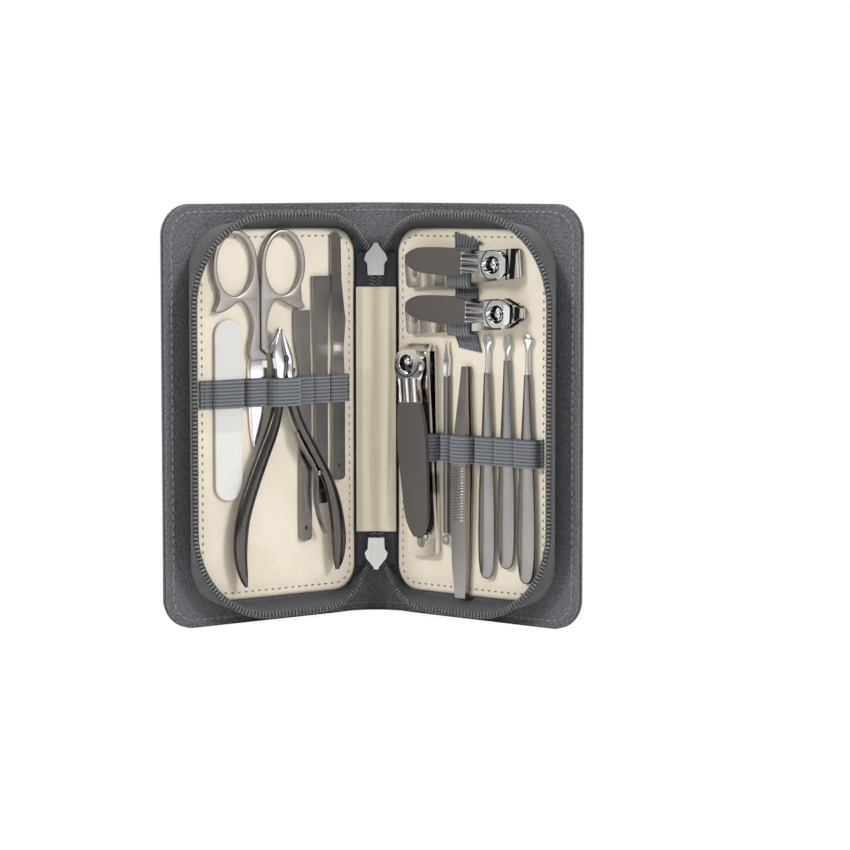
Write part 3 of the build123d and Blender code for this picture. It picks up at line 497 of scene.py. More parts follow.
def roundedRun(uLow, uHigh, low, high, corner, cornerIn=None):  # outline as (u, z), from the spine side at the top
    bend = np.linspace(0, pi / 2, 14)
    top = [(uHigh - corner + corner * sin(a), high - corner + corner * cos(a)) for a in bend]
    foot = [(uHigh - corner + corner * cos(a), low + corner - corner * sin(a)) for a in bend]
    if cornerIn is None:
        return [(uLow, high), *top, *foot, (uLow, low)]
    footIn = [(uLow + cornerIn - cornerIn * sin(a), low + cornerIn - cornerIn * cos(a)) for a in bend]
    topIn = [(uLow + cornerIn - cornerIn * cos(a), high - cornerIn + cornerIn * sin(a)) for a in bend]
    return [*top, *foot, *footIn, *topIn, top[0]]


def beads(name, mapping, centres, tangents, length, width, height, material, sides=6):  # sewn stitches
    ring = np.array([(cos(a), sin(a)) for a in np.linspace(0, 2 * pi, sides, endpoint=False)])
    stations = np.array([(-0.5, 0.25), (-0.42, 0.75), (-0.2, 1.0), (0.2, 1.0), (0.42, 0.75), (0.5, 0.25)])
    points, cut, faces = [], [], []
    for (u, z, n), (tu, tz) in zip(centres, tangents):
        first = len(points)
        for along, size in stations:
            for c, s in ring:
                sink = -0.16 * (2 * along) ** 4
                points.append((u + tu * along * length - tz * c * size * width / 2,
                               z + tz * along * length + tu * c * size * width / 2,
                               n + s * size * height / 2 + sink))
                cut.append((along, c, s))
        count = len(stations)
        faces += [tuple(f) for f in quads(count, sides, wrapCols=True, start=first)]
        faces += [tuple(range(first, first + sides)), tuple(range(first + (count - 1) * sides, first + count * sides))]
    return build(name, mapping(*np.array(points).T), faces, material, cut)


def bendWith(side, piece):
    word = words[side]
    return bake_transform(piece, "spine", f"{word}_half", start=place(side, -6, 0, -1.6) / 1000,
                    end=place(side, 6, 0, -1.6) / 1000)


def overSpine(u):  # 0 on a cover, rising to 1 on the spine, where the two skins draw together
    return 1 - ease(u, -5, 4)


coverParts = {"boardInset": 0.25, "skinRound": 0.35, "boardRound": 0.2, "flatSize": (0.0955, 0.16), "seamInset": 3,
              "seamPitch": 3.1, "stitch": (2.2, 0.55, 0.5), "seamLevels": {"Front": 0.06, "Back": -3.26}}
inset, seamInset = coverParts["boardInset"], coverParts["seamInset"]
coverWidth, coverHeight, coverCorner = case["coverWidth"], case["height"], case["coverCorner"]
coverShape = (-foldLength, coverWidth, 0.0, coverHeight, 0.01, coverCorner)
boardShape = (0.0, coverWidth - inset, inset, coverHeight - inset, 0.01, coverCorner - inset)
for side in (left, right):
    word = words[side]
    outer = plate(f"{word}CoverSkin", side, coverShape, lambda u, z, d: -2.15 + overSpine(u) * 0.6,
                  lambda u, z, d: -3.2 + overSpine(u), coverParts["skinRound"], grey, meets=True)
    inner = plate(f"{word}CoverLining", side, coverShape, lambda u, z, d: -overSpine(u),
                  lambda u, z, d: -1.05 - overSpine(u) * 0.5, coverParts["skinRound"], greyInner, meets=True)
    core = plate(f"{word}CoverCore", side, boardShape, lambda u, z, d: -1.0 + 0 * u,
                 lambda u, z, d: -2.2 + 0 * u, coverParts["boardRound"], darkBoardAndPivotShade, step=6)
    for piece, slotName in ((outer, "grey_leather"), (inner, "inner_leather")):
        bendWith(side, piece)
    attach(core, f"{word}_half")
    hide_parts(f"{word}_cover_leather", "spine_leather")
    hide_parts(f"{word}_cover_facing")
    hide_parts(f"{word}_cover_board")
    run = roundedRun(-foldLength, coverWidth - seamInset, seamInset, coverHeight - seamInset,
                     coverCorner - seamInset)
    for face, level in coverParts["seamLevels"].items():
        path = resample([(u, z, 0) for u, z in run], coverParts["seamPitch"])
        middle = (path[1:] + path[:-1]) / 2
        middle[:, 2] = level + overSpine(middle[:, 0]) * (-1.0 if face == "Front" else 1.0)
        heading = unit(path[1:, :2] - path[:-1, :2])
        seam = beads(f"{word}CoverStitches{face}", onto(side), middle, heading,
                     *coverParts["stitch"], threadGrey if face == "Front" else threadPale)
        bendWith(side, seam)
print("covers made")

panelParts = {"spineEdge": -3.4, "outer": 69.8, "low": 9.2, "high": 150.4, "corners": (10.0, 15.0), "round": 1.6,
              "holeInset": 3.0, "holeOuterInset": 2.8, "holeSpineInset": 3.1, "holeCorners": (12.0, 7.0),
              "holePitch": 3.05, "holeLevel": 1.83, "hole": (1.2, 0.55, 0.16)}
panelShape = (*(panelParts[key] for key in ("spineEdge", "outer", "low", "high")), *panelParts["corners"])


def pillow(u, z, d):  # slack leather over thin foam
    swell = 0.35 * ease(d, 0, 9)
    ripple = 0.12 * np.sin(u * 0.21 + 0.7 * np.sin(z * 0.06)) * np.sin(z * 0.083 + 1.3) * ease(d, 4, 14)
    groove = -0.22 * np.exp(-((d - 3.0) / 0.7) ** 2)
    return np.minimum(swell - 0.35, 0) + groove - np.abs(ripple)


for side in (left, right):
    word = words[side]
    panel = plate(f"{word}PanelPad", side, panelShape, lambda u, z, d: panelTop + 0 * u,
                  lambda u, z, d: 0.02 - ease(-u, -4, 5), panelParts["round"], cream, step=1.8, waves=pillow)
    bendWith(side, panel)
    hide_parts(f"{word}_panel")
for side in (left, right):
    word = words[side]
    run = roundedRun(panelParts["spineEdge"] + panelParts["holeSpineInset"],
                     panelParts["outer"] - panelParts["holeOuterInset"], panelParts["low"] + panelParts["holeInset"],
                     panelParts["high"] - panelParts["holeInset"], *panelParts["holeCorners"])
    row = resample([(u, z, panelParts["holeLevel"]) for u, z in run], panelParts["holePitch"])[:-1]
    heading = unit(np.gradient(row, axis=0)[:, :2])
    dots = beads(f"{word}PanelHoles", onto(side), row, heading,
                 *panelParts["hole"], punched, 8)
    bendWith(side, dots)
print("panels made")

rimParts = {"outer": 75.0, "low": 3.6, "high": 155.5, "corner": 34.0, "level": 9.75, "footLift": 2.3,
            "toothPitch": 1.55, "tooth": (2.4, 0.84, 1.2), "cordRadius": 1.35, "clothThickness": 0.0006,
            "clothWidth": 0.0105, "ease": 1.05}
rimOuter, rimLow, rimHigh, rimCorner, rimLevel = (rimParts[key] for key in ("outer", "low", "high", "corner", "level"))


def archRun(top, outer, high, corner, level, middle, total, rejoin):  # from the top slider to the bottom one
    bend = np.linspace(0, pi / 2, 10)
    edge = [(outer - corner + corner * sin(a), high - corner + corner * cos(a), level) for a in bend]
    half = [*top, *edge, (outer, 100, level)]
    foot = [(u, total - z + rimParts["footLift"] * (1 - ease(u, top[0][0], rejoin)), n) for u, z, n in reversed(half)]
    return resample(smoothLine([*half, (outer, middle, level), *foot], 10), 1.0)


def rimRun():  # the zip chain's line as (u, z, n)
    top = [(-10.3, 141.6, 4.1), (-7.2, 144.4, 4.9), (-2.6, 148.2, 6.1), (3.6, 151.8, 7.6), (10.0, 154.2, 9.0),
           (18, 155.4, 9.7), (28, 155.5, rimLevel)]
    return archRun(top, rimOuter, rimHigh, rimCorner, rimLevel, 79.5, rimLow + rimHigh, 3.6)


def baseRun():  # where the fabric meets the cover
    top = [(-12.6, 140.0, 1.5), (-9.5, 143.0, 0.4), (-5.0, 146.6, -0.6), (1.0, 150.0, -0.2), (8.0, 151.3, 0.02),
           (17, 151.6, 0.02), (28, 151.6, 0.02)]
    return archRun(top, 71.0, 151.6, 16, 0.02, 79.8, 159.6, 1.0)


def sweep(line, first, second, sides):  # rings in two directions round a line
    angle = np.linspace(0, 2 * pi, sides, endpoint=False)
    ring = line[:, None, :] + (first[:, None, :] * np.cos(angle)[None, :, None]
                               + second[:, None, :] * np.sin(angle)[None, :, None])
    return ring.reshape(-1, 3), quads(len(line), sides, wrapCols=True)


def tube(path, radius, sides, flat):  # closed at both ends, all in (u, z, n)
    heading = unit(np.gradient(path, axis=0))
    across = unit(np.cross(heading, (0, 0, 1.0)))
    points, faces = sweep(path, radius * across, radius * (flat * np.cross(across, heading)), sides)
    return points, [*faces, tuple(range(sides)), tuple(range((len(path) - 1) * sides, len(path) * sides))]


def coilLine(path, pitch, halfWidth, halfHeight):  # a coil wound along a line, ten points a turn
    fine = resample(path, pitch / 10)
    heading = unit(np.gradient(fine, axis=0))
    across = unit(np.cross(heading, (0, 0, 1.0)))
    rise = np.cross(across, heading)
    angle = np.arange(len(fine)) * 2 * pi / 10
    return fine + across * (halfWidth * np.cos(angle))[:, None] + rise * (halfHeight * np.sin(angle))[:, None]


def coilMesh(line, thick):
    heading = unit(np.gradient(line, axis=0))
    side1 = unit(np.cross(heading, (0.31, 0.27, 0.91)))
    return sweep(line, thick * side1, thick * np.cross(heading, side1), 5)


for side in (left, right):
    word = words[side]
    rim, base = rimRun(), baseRun()
    count = 330
    rim, base = (np.stack([np.interp(np.linspace(0, 1, count), np.linspace(0, 1, len(p)), p[:, k])
                           for k in range(3)], -1) for p in (rim, base))
    shares = np.array([0, 0.08, 0.2, 0.35, 0.5, 0.65, 0.8, 0.92, 1.0])
    belly = np.sin(shares * pi) * 0.5
    outward = np.gradient(base[:, :2], axis=0)
    outward = unit(np.stack([-outward[:, 1], outward[:, 0]], -1))
    wall = base[:, None, :] + (rim - base)[:, None, :] * shares[None, :, None]
    wall[:, :, :2] += outward[:, None, :] * belly[None, :, None]
    wall[:, :, 2] -= (shares > 0.9)[None, :] * 0.35
    run = travelled(base)
    cut = np.stack([np.repeat(run[:, None], 9, 1), np.repeat(shares[None, :] * 11, count, 0), wall[:, :, 2]], -1)
    skirt = build(f"{word}GussetCloth", place(side, *wall.reshape(-1, 3).T), quads(count, 9), twill, cut)
    thick = skirt.modifiers.new("cloth", "SOLIDIFY")
    thick.thickness, thick.offset = rimParts["clothThickness"], 0
    bpy.context.view_layer.objects.active = skirt
    bpy.ops.object.modifier_apply(modifier="cloth")
    tooth = resample(rim, rimParts["toothPitch"])
    lean = unit(np.gradient(tooth, axis=0)[:, :2])
    coil = beads(f"{word}ZipCoil", onto(side), tooth + (0, 0, 0.25),
                 np.stack([-lean[:, 1], lean[:, 0]], -1), *rimParts["tooth"], toothGrey, 8)
    points, faces = tube(rim, rimParts["cordRadius"], 8, 0.5)
    points[:, 2] -= 0.3
    cord = build(f"{word}ZipCord", place(side, *points.T), faces, cordBlack, points)
    for piece, slotName in ((skirt, "twill"), (coil, "zip_chain"), (cord, "zip_chain")):
        bendWith(side, piece)
    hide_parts(f"{word}_gusset")
    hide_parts(f"{word}_zip_chain")
print("gussets made")

def upright(x, z, y):  # points on the spine, seen from the front
    return np.stack(np.broadcast_arrays(*(np.asarray(a, float) for a in (x, y, z))), -1)


stripParts = {"halfWidth": 7.7, "low": 31.8, "high": 127.4, "thickness": 0.8, "flatSize": (0.0162, 0.0956),
              "foldAt": 4.2, "foldWidth": 1.3, "foldRise": 0.6, "bow": 0.4, "bowWidth": 8.2}
tapeFace = hingeY - 1.2
halfStrip, stripLow, stripHigh = stripParts["halfWidth"], stripParts["low"], stripParts["high"]
across, up = np.meshgrid(marks(-halfStrip, halfStrip, 0.5, (0.0, 0.1, 0.3, 0.6)),
                         marks(stripLow, stripHigh, 1.6, (0.0, 0.1, 0.3, 0.7, 1.3, 2.2)), indexing="ij")
wander = np.abs(across + 0.25 * np.sin(up * 0.05)) - stripParts["foldAt"]
fold = stripParts["foldRise"] * np.exp(-(wander / stripParts["foldWidth"]) ** 2) - 0.45 * np.exp(-(across / 1.8) ** 2)
fold += 0.16 * np.sin(across * 1.9 + 1.2 * np.sin(up * 0.045)) * ease(halfStrip - np.abs(across), 0, 2)
fromEnd = np.minimum(up - stripLow, stripHigh - up)
hemmed = 0.22 * np.exp(-((fromEnd - 1.2) / 0.5) ** 2)
bow = stripParts["bow"] * (across / stripParts["bowWidth"]) ** 2
face = tapeFace - 0.95 - bow - fold * ease(fromEnd, 0, 6) - hemmed
points = np.concatenate([upright(across, up, y).reshape(-1, 3) for y in (face, face + stripParts["thickness"])])
strip = build("spineStrip", points, slab(*across.shape), folded, points[:, [0, 2, 1]])
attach(strip, "spine")
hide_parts("spine_lining")

endParts = {"halfWidth": 7.4, "overlap": -3.0, "reach": 13.0, "thickness": 0.6, "flatSize": (0.0149, 0.016),
            "chainOffset": 1.35, "chainStart": 0.5, "chainEnd": 9.0, "coil": (1.5, 1.25, 0.6), "wire": 0.3}
halfTape = endParts["halfWidth"]
for way, word, edge in ((1, "top", stripHigh), (-1, "bottom", stripLow)):
    across, along = np.meshgrid(marks(-halfTape, halfTape, 0.7, (0.0, 0.1, 0.3)),
                                np.linspace(endParts["overlap"], endParts["reach"], 24), indexing="ij")
    notch = (along > 10.0) * (1 - ease(np.abs(across), 0.9, 1.3))
    face = tapeFace + 0.05 + 0.25 * (np.abs(across) / halfTape) ** 2 + notch * 0.35
    points = np.concatenate([upright(across, edge + way * along, y).reshape(-1, 3)
                             for y in (face, face + endParts["thickness"])])
    tape = build(f"{word}ZipTape", points, slab(*across.shape), tapeCloth, points[:, [0, 2, 1]])
    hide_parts(f"zip_tape_{word}")
    points, faces = [], []
    for sign in (-1, 1):
        middle = np.stack([np.full(30, sign * endParts["chainOffset"]),
                           np.linspace(endParts["chainStart"], endParts["chainEnd"], 30), np.zeros(30)], -1)
        made, more = coilMesh(coilLine(middle, *endParts["coil"]), endParts["wire"])
        faces += [f + len(points) * len(made) for f in more]
        points.append(made)
    u, z, n = np.concatenate(points).T
    stub = build(f"{word}ClosedCoil", upright(u, edge + way * z, tapeFace - 0.85 - n * 0.8), faces, coilDark,
                 np.concatenate(points))
    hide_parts(f"zip_stub_{word}")
    for piece, slotName in ((tape, "twill"), (stub, "zip_chain")):
        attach(piece, "spine")
print("spine made")

bandParts = {"width": 10.8, "level": 0.45, "ribPitch": 1.35, "seamLevel": 0.95, "seamPitch": 1.7,
             "stitch": (1.25, 0.4, 0.35)}
bandWidth = bandParts["width"]


def bandLine(start, end, loops, level):  # (u, n) of the strap's middle; loops give the tools' edges and tops
    points = [(start, level)]
    for low, high, top in sorted(loops):
        crest = top + 0.5
        corner = min(0.42 * (high - low), 0.35 + 0.22 * top)
        part = level + 0.25 * (crest - level)
        points += [(low - 0.75, level), (low - 0.55, part), (low - 0.5, crest - 0.7 * corner),
                   (low + 0.35 * corner, crest - 0.08 * corner), (low + corner + 0.3, crest),
                   (high - corner - 0.3, crest), (high - 0.35 * corner, crest - 0.08 * corner),
                   (high + 0.5, crest - 0.7 * corner), (high + 0.55, part), (high + 0.75, level)]
    points.append((end, level))
    return np.array(points, float)


def looseEnds(u, z, n):  # the upright band's cut ends flare and slant
    top, foot = ease(u, 143.4, 149.0), 1 - ease(u, 105.0, 110.0)
    share = z / bandWidth
    wave = 0.25 * np.sin(z * 1.9) * top
    return place(right, 26.0 + z * (1 + 0.22 * top) - 0.4 * top + 1.7 * foot,
                 u - 3.6 * top * share**1.3 + wave - 1.6 * foot * share, panelTop + n + 0.9 * top * share)


bands = {
    "leftElastic": {
        "from": 0.5, "to": 68.4, "over": lambda u, z, n: place(left, u, 83.0 + z, panelTop + n),
        "body": "left_half", "node": "left_elastic",
        "loops": [(3.1, 8.9, 1.6), (11.1, 16.9, 1.6), (18.7, 24.0, 1.6), (27.6, 38.6, 6.8), (40.2, 47.4, 2.6),
                  (50.3, 62.3, 1.6)],
        "seams": [1.0, 2.2, 10.0, 17.8, 26.9, 39.4, 48.8, 64.2, 66.6]},
    "rightElastic": {
        "from": 0.5, "to": 67.4, "over": lambda u, z, n: place(right, u, 60.8 + z, panelTop + n),
        "body": "right_half", "node": "right_elastic",
        "loops": [(4.5, 18.1, 5.75), (21.5, 24.1, 2.9), (28.0, 35.2, 5.8), (38.3, 46.1, 3.5), (47.5, 55.5, 3.5),
                  (56.8, 65.2, 3.5)],
        "seams": [1.1, 2.4, 19.9, 26.1, 36.7, 46.8, 56.1, 66.3]},
    "clipperElastic": {
        "from": 105.0, "to": 149.0, "over": looseEnds, "body": "right_half", "node": "clipper_elastic",
        "loops": [(110.6, 123.6, 5.5), (128.8, 142.0, 5.5)], "seams": [106.2, 107.8, 126.0, 143.8, 147.4]}}
for name, band in bands.items():
    body, over = band["body"], band["over"]
    line = resample(bandLine(band["from"], band["to"], band["loops"], bandParts["level"]), 0.35)
    across = marks(0, bandWidth, 0.34, (0.0, 0.1, 0.25))
    heading = unit(np.gradient(line, axis=0))
    normal = np.stack([-heading[:, 1], heading[:, 0]], -1)
    sunk = np.minimum(across, bandWidth - across) < 0.12
    ridge = 0.11 * np.sin(across * 2 * pi / bandParts["ribPitch"]) - 0.25 * sunk
    front = line[:, None, :] + normal[:, None, :] * (0.4 + ridge)[None, :, None]
    back = line[:, None, :] - normal[:, None, :] * 0.3 + 0 * front
    run = travelled(line)
    points, cut = [], []
    for layer in (front, back):
        spread = np.broadcast_to(across[None, :], layer.shape[:2])
        points.append(np.stack([layer[..., 0], spread, layer[..., 1]], -1).reshape(-1, 3))
        along = np.repeat(run[:, None], len(across), 1)
        cut.append(np.stack([along, spread, layer[..., 1]], -1).reshape(-1, 3))
    piece = build(name, over(*np.concatenate(points).T), slab(*front.shape[:2]), ribbed, np.concatenate(cut))
    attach(piece, body)
    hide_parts(band["node"])
    rows = np.arange(0.9, bandWidth - 0.4, bandParts["seamPitch"])
    centres = [(seam, z, bandParts["seamLevel"]) for seam in band["seams"] for z in rows]
    stitches = beads(f"{name}Stitches", over, centres, [(0, 1)] * len(centres), *bandParts["stitch"], threadDark)
    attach(stitches, body)
print("loops made")

# metal tools: heights off the cover, and how far the left ones sit towards the spine
bed, toolsInward, nipperBed = 2.3, 0.9, 4.4


def roundedPlate(name, outlines, thick, edge, mapping, material, body, slotName=None):
    flat = bpy.data.curves.new(name, "CURVE")  # a flat part with rounded edges; outlines in mm
    flat.dimensions, flat.fill_mode = "2D", "BOTH"
    flat.extrude, flat.bevel_depth, flat.bevel_resolution, flat.offset = max(thick / 2 - edge, 0.001), edge, 3, -edge
    for outline in outlines:
        outline = resample(smoothLine([outline[-1], *outline, outline[0], outline[1]], 6)[6:-6], 0.45)[:-1]
        spline = flat.splines.new("POLY")
        spline.points.add(len(outline) - 1)
        for point, (u, z) in zip(spline.points, outline):
            point.co = (u, z, 0, 1)
        spline.use_cyclic_u = True
    draft = bpy.data.objects.new(f"{name}Draft", flat)
    bpy.context.scene.collection.objects.link(draft)
    bpy.context.view_layer.update()
    mesh = bpy.data.meshes.new_from_object(draft)
    bpy.data.objects.remove(draft)
    co = np.array([v.co for v in mesh.vertices], float)
    faces = [list(f.vertices) for f in mesh.polygons]
    co[:, 2] += thick / 2
    piece = build(name, mapping(*co.T), faces, material, co)
    sharpen(piece, 50)
    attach(piece, body)
    return piece


def loft(name, stations, mapping, material, body, power=2.3, sides=20):
    angle = np.linspace(0, 2 * pi, sides, endpoint=False)  # stations: u, z, half width, lowest n, highest n, lean
    st = np.array([(*row, 0.0) if len(row) == 5 else row for row in stations], float)
    fine = smoothLine(st, 5)
    heading = unit(np.gradient(fine[:, :2], axis=0))
    across = np.stack([-heading[:, 1], heading[:, 0]], -1)
    shape = lambda value: np.sign(value) * np.abs(value) ** (2 / power)
    c, h = shape(np.cos(angle)), shape(np.sin(angle))
    points = np.zeros((len(fine), sides, 3))
    middle, half = (fine[:, 3] + fine[:, 4]) / 2, (fine[:, 4] - fine[:, 3]) / 2
    shift = fine[:, 2:3] * c[None, :] + fine[:, 5:6] * (h[None, :] * half[:, None])
    points[..., :2] = fine[:, None, :2] + across[:, None, :] * shift[..., None]
    points[..., 2] = middle[:, None] + half[:, None] * h[None, :]
    count = len(fine)
    faces = [*quads(count, sides, wrapCols=True), tuple(range(sides)), tuple(range((count - 1) * sides, count * sides))]
    piece = build(name, mapping(*points.reshape(-1, 3).T), faces, material, points)
    sharpen(piece, 60)
    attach(piece, body)
    return piece


def leftTool(lift=0.0):
    return lambda u, z, n: place(left, u - toolsInward, z, bed + lift + n)


def overPanel(side, lift=0.0):
    return lambda u, z, n: place(side, u, z, bed + lift + n)


def ellipse(u, z, halfWidth, halfHeight):
    return [(u + halfWidth * cos(a), z + halfHeight * sin(a)) for a in np.linspace(0, 2 * pi, 40, endpoint=False)]


def ringPart(u, z, halfWidth, halfHeight, start, end, count):  # part of a finger ring's outside
    return [(u + halfWidth * cos(radians(a)), z + halfHeight * sin(radians(a))) for a in np.linspace(start, end, count)]


scissors = {"ringHeight": 136.8, "ring": (10.0, 13.5), "hole": (7.95, 11.5), "handle": (2.6, 0.75),
            "blade": (0.85, 0.12), "outerRing": 54.6, "innerRing": 32.9, "bladeLift": 0.9}
outerRing, innerRing, ringHeight = (scissors[key] for key in ("outerRing", "innerRing", "ringHeight"))
outerBow = [*ringPart(outerRing, ringHeight, *scissors["ring"], -40, 178, 26), (43.9, 131), (43.62, 126),
            (43.6, 115), (43.6, 106),
            (43.5, 104.6), (42.2, 103.6), (40.9, 102.4), (40.6, 100.6), (44, 100.6), (47.3, 100.8), (48.5, 103.5),
            (48.4, 106.1), (47.3, 110.5), (46.8, 114.8), (48.2, 119.6), (50.5, 122.7), (53.0, 123.1), (56.2, 121.2),
            (59.4, 119.6), (62.4, 119.1), (64.0, 119.7), (62.8, 122.0), (61.9, 124.4), (62.1, 127.0)]
innerBow = [*ringPart(innerRing, ringHeight, *scissors["ring"], 2, 216, 26), (24.6, 125.8), (24.3, 122.6),
            (23.1, 120.9), (24.5, 119.6),
            (26.9, 120.0), (30.7, 121.7), (33.9, 123.3), (36.4, 123.1), (38.7, 120.1), (40.0, 115.8), (40.3, 111.5),
            (39.3, 107.2), (38.9, 104.6), (39.4, 103.2), (40.4, 102.9), (41.6, 103.9), (43.1, 105.1), (43.2, 106.4),
            (43.2, 115), (43.2, 126), (43.0, 131)]
bladeUnder = [(40.8, 101.2), (40.4, 91), (42.5, 76), (45.4, 68.4), (46.2, 68.4), (47.4, 76), (48.2, 91),
              (47.5, 101.2)]
bladeOver = [(40.6, 101.0), (40.8, 91), (42.7, 76), (45.5, 68.7), (46.1, 68.7), (46.8, 76), (47.6, 91),
             (46.9, 101.0)]
for half, bow, ring, blade, level, body in (
        ("outer", outerBow, outerRing, bladeUnder, 0.0, "scissors_outer"),
        ("inner", innerBow, innerRing, bladeOver, scissors["bladeLift"], "scissors")):
    name = f"scissors{half.title()}"
    handle = roundedPlate(f"{name}Handle", [bow, ellipse(ring, ringHeight, *scissors["hole"])], *scissors["handle"],
                          leftTool(), satin, body, "gunmetal")
    roundedPlate(f"{name}Blade", [blade], *scissors["blade"], leftTool(level), bladeSteel, body, "chrome")
    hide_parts(f"scissors_{half}_half")

nippers = {"jaw": (4.2, 0.6), "jawLift": 0.05, "pin": (33.5, 101.1, 1.0, 1.35), "pinSize": (4.7, 0.3),
           "rivet": (18.3, 56.4, 1.0, 1.0), "rivetSize": (1.4, 0.4), "rivetLift": 3.1}
nipperLift = nipperBed - bed
outerGrip = [(36.2, 97.5, 2.3, 0.5, 4.2), (35.9, 92, 2.3, 0.1, 4.2), (36.5, 82, 2.2, 0, 4.3),
             (39.1, 73.3, 2.5, 0, 4.35), (43.5, 63.5, 2.7, 0, 4.35), (48.2, 52.5, 2.85, 0, 4.35),
             (52.0, 41.5, 2.95, 0, 4.35),
             (53.3, 33, 2.95, 0.1, 4.3), (53.2, 25, 2.6, 0.3, 4.1), (52.0, 18.6, 1.7, 0.8, 3.7),
             (50.9, 14.8, 0.5, 1.5, 3.0)]
innerGrip = [(30.6, 97.5, 2.0, 0.5, 4.2), (31.0, 92, 1.9, 0.1, 4.2), (29.0, 82, 1.9, 0, 4.3),
             (25.6, 74.2, 2.0, 0, 4.35), (19.6, 64.2, 2.05, 0, 4.35), (13.8, 54.2, 2.15, 0, 4.35),
             (10.3, 44.5, 2.7, 0, 4.35), (8.6, 35, 3.0, 0.1, 4.3), (8.2, 28, 2.9, 0.3, 4.15),
             (8.6, 22, 2.1, 0.8, 3.7), (9.2, 18.2, 0.6, 1.5, 3.0)]
for half, grip, body in (("outer", outerGrip, "nippers"), ("inner", innerGrip, "nippers_inner")):
    handle = loft(f"nippers{half.title()}Handle", grip, overPanel(left, nipperLift), darkGrip, body)
    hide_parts(f"nippers_{half}_half")
leftJaw = [(35.7, 113.0), (36.4, 112.8), (36.9, 111.2), (37.6, 108.8), (38.5, 105.6), (38.5, 102.2),
           (37.9, 98.6), (37.2, 93.6), (34.6, 92.6), (33.4, 96.4), (33.0, 99.6), (33.6, 102.2), (34.4, 105.6),
           (35.2, 109.6)]
rightJaw = [(35.4, 112.5), (35.1, 112.2), (34.2, 110.4), (32.6, 107.3), (30.9, 103.5), (30.1, 101),
            (30.1, 97), (29.6, 93.4), (32.4, 92.7), (32.9, 96.2), (32.55, 99.4), (33.2, 102.3), (34.0, 105.6),
            (34.9, 109.6)]
for name, jaw, body in (("nippersBackJaw", leftJaw, "nippers_inner"), ("nippersFrontJaw", rightJaw, "nippers")):
    roundedPlate(name, [jaw], *nippers["jaw"], overPanel(left, nipperLift + nippers["jawLift"]), bladeSteel, body,
                 "chrome")
# painted shade: a dark disc at the pin stands for the shadowed pivot gap
pivotShade = roundedPlate("nippersPivotShade", [ellipse(*nippers["pin"])], *nippers["pinSize"], overPanel(left, nipperLift),
                     darkBoardAndPivotShade, "nippers")
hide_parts("nippers_pin")
roundedPlate("nippersSpringRivet", [ellipse(*nippers["rivet"])], *nippers["rivetSize"],
             overPanel(left, nipperLift + nippers["rivetLift"]), gunmetal, "nippers_inner")
print("left tools made")

picks = {  # head rows: height over the shoulder, half width, lowest and highest n
    "diamond": {"node": "pick_diamond", "body": "diamond_pick", "at": 42.2, "foot": 17.0, "shoulder": 96.0,
                "half": 3.9, "head": [(0, 0.8, 1.0, 2.2), (7, 0.75, 1.05, 2.15), (9.5, 1.0, 1.1, 2.1),
                                      (12.2, 2.1, 1.2, 2.0), (14.6, 0.5, 1.3, 1.9)]},
    "chisel": {"node": "pick_chisel", "body": "chisel_pick", "at": 51.5, "foot": 21.5, "shoulder": 101.0,
               "half": 4.0, "head": [(0, 0.9, 0.9, 2.3), (2.5, 0.9, 1.0, 2.2), (5, 1.7, 1.1, 2.1),
                                     (8, 1.6, 1.2, 2.0), (9.6, 0.7, 1.3, 1.9)]},
    "spoon": {"node": "pick_spoon", "body": "spoon_pick", "at": 61.0, "foot": 16.5, "shoulder": 96.0,
              "half": 4.2, "head": [(0, 0.8, 1.0, 2.2), (8, 0.75, 1.05, 2.15), (10.4, 1.0, 1.1, 2.1),
                                    (12.6, 1.9, 1.2, 2.1), (14, 1.75, 1.2, 2.1), (15, 0.8, 1.3, 1.9)]}}
for name, pick in picks.items():
    u, foot, shoulder, half, body = (pick[key] for key in ("at", "foot", "shoulder", "half", "body"))
    run = shoulder - foot
    grip = [(u, foot + 0.1, 0.4, 1.2, 2.0), (u, foot + 0.012 * run, 0.55 * half, 0.7, 2.5),
            (u, foot + 0.05 * run, 0.83 * half, 0.3, 2.9), (u, foot + 0.16 * run, 0.99 * half, 0, 3.2),
            (u, foot + 0.42 * run, 0.93 * half, 0, 3.2), (u, foot + 0.7 * run, 0.62 * half, 0.2, 3.0),
            (u, foot + 0.97 * run, 1.35, 0.4, 2.8), (u, shoulder, 1.25, 0.5, 2.7)]
    handle = loft(f"{name}PickHandle", grip, overPanel(right), gunmetal, body, 2.0)
    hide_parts(pick["node"])
    head = [(u, shoulder + z, w, low, high) for z, w, low, high in pick["head"]]
    loft(f"{name}PickHead", head, overPanel(right), chrome, body, 2.0, 16)

# tweezers' gripping ridges
ridged = {"lean": radians(1.7), "from": 39.0, "to": 59.5, "pitch": 1.12, "ridge": (5.6, 0.62, 0.5)}
ridges = [(29.9 + (z - 8.6) * tan(ridged["lean"]), z, 4.86 + 0.6 * (z - 40) / 30 + 2.3)
          for z in np.arange(ridged["from"], ridged["to"], ridged["pitch"])]
grip = beads("tweezerRidges", onto(right), ridges, [(1, 0)] * len(ridges), *ridged["ridge"], gunmetal)
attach(grip, "tweezer")
print("right tools made")

clippers = ("straight", "pointed", "large")
leaves = [f"{n}_clipper_{p}" for n in clippers for p in ("lower_leaf", "upper_leaf")]
steelStrips = ["nippers_spring", "pusher_wide", "pusher_square", "pusher_round"]
sliders = ["zip_slider_top", "zip_slider_bottom"]
ringHole = {"straight": (4.2, 1.0), "pointed": (4.2, 1.0), "large": (7.8, 0.25)}  # from the leaf's end; strength of the painted shade bands behind the jaw
looks = {gunmetal: [*steelStrips, "tweezers"], rodSteel: ["blemish_tool"],
         chrome: ["scissors_screw", *(f"{n}_clipper_pin" for n in clippers)], sliderSilver: sliders,
         frosted: ["nail_file"], grey: ["zip_pull_top", "zip_pull_bottom"]}


def dress(name, look):
    nodes[name].data.materials.clear()
    nodes[name].data.materials.append(look)


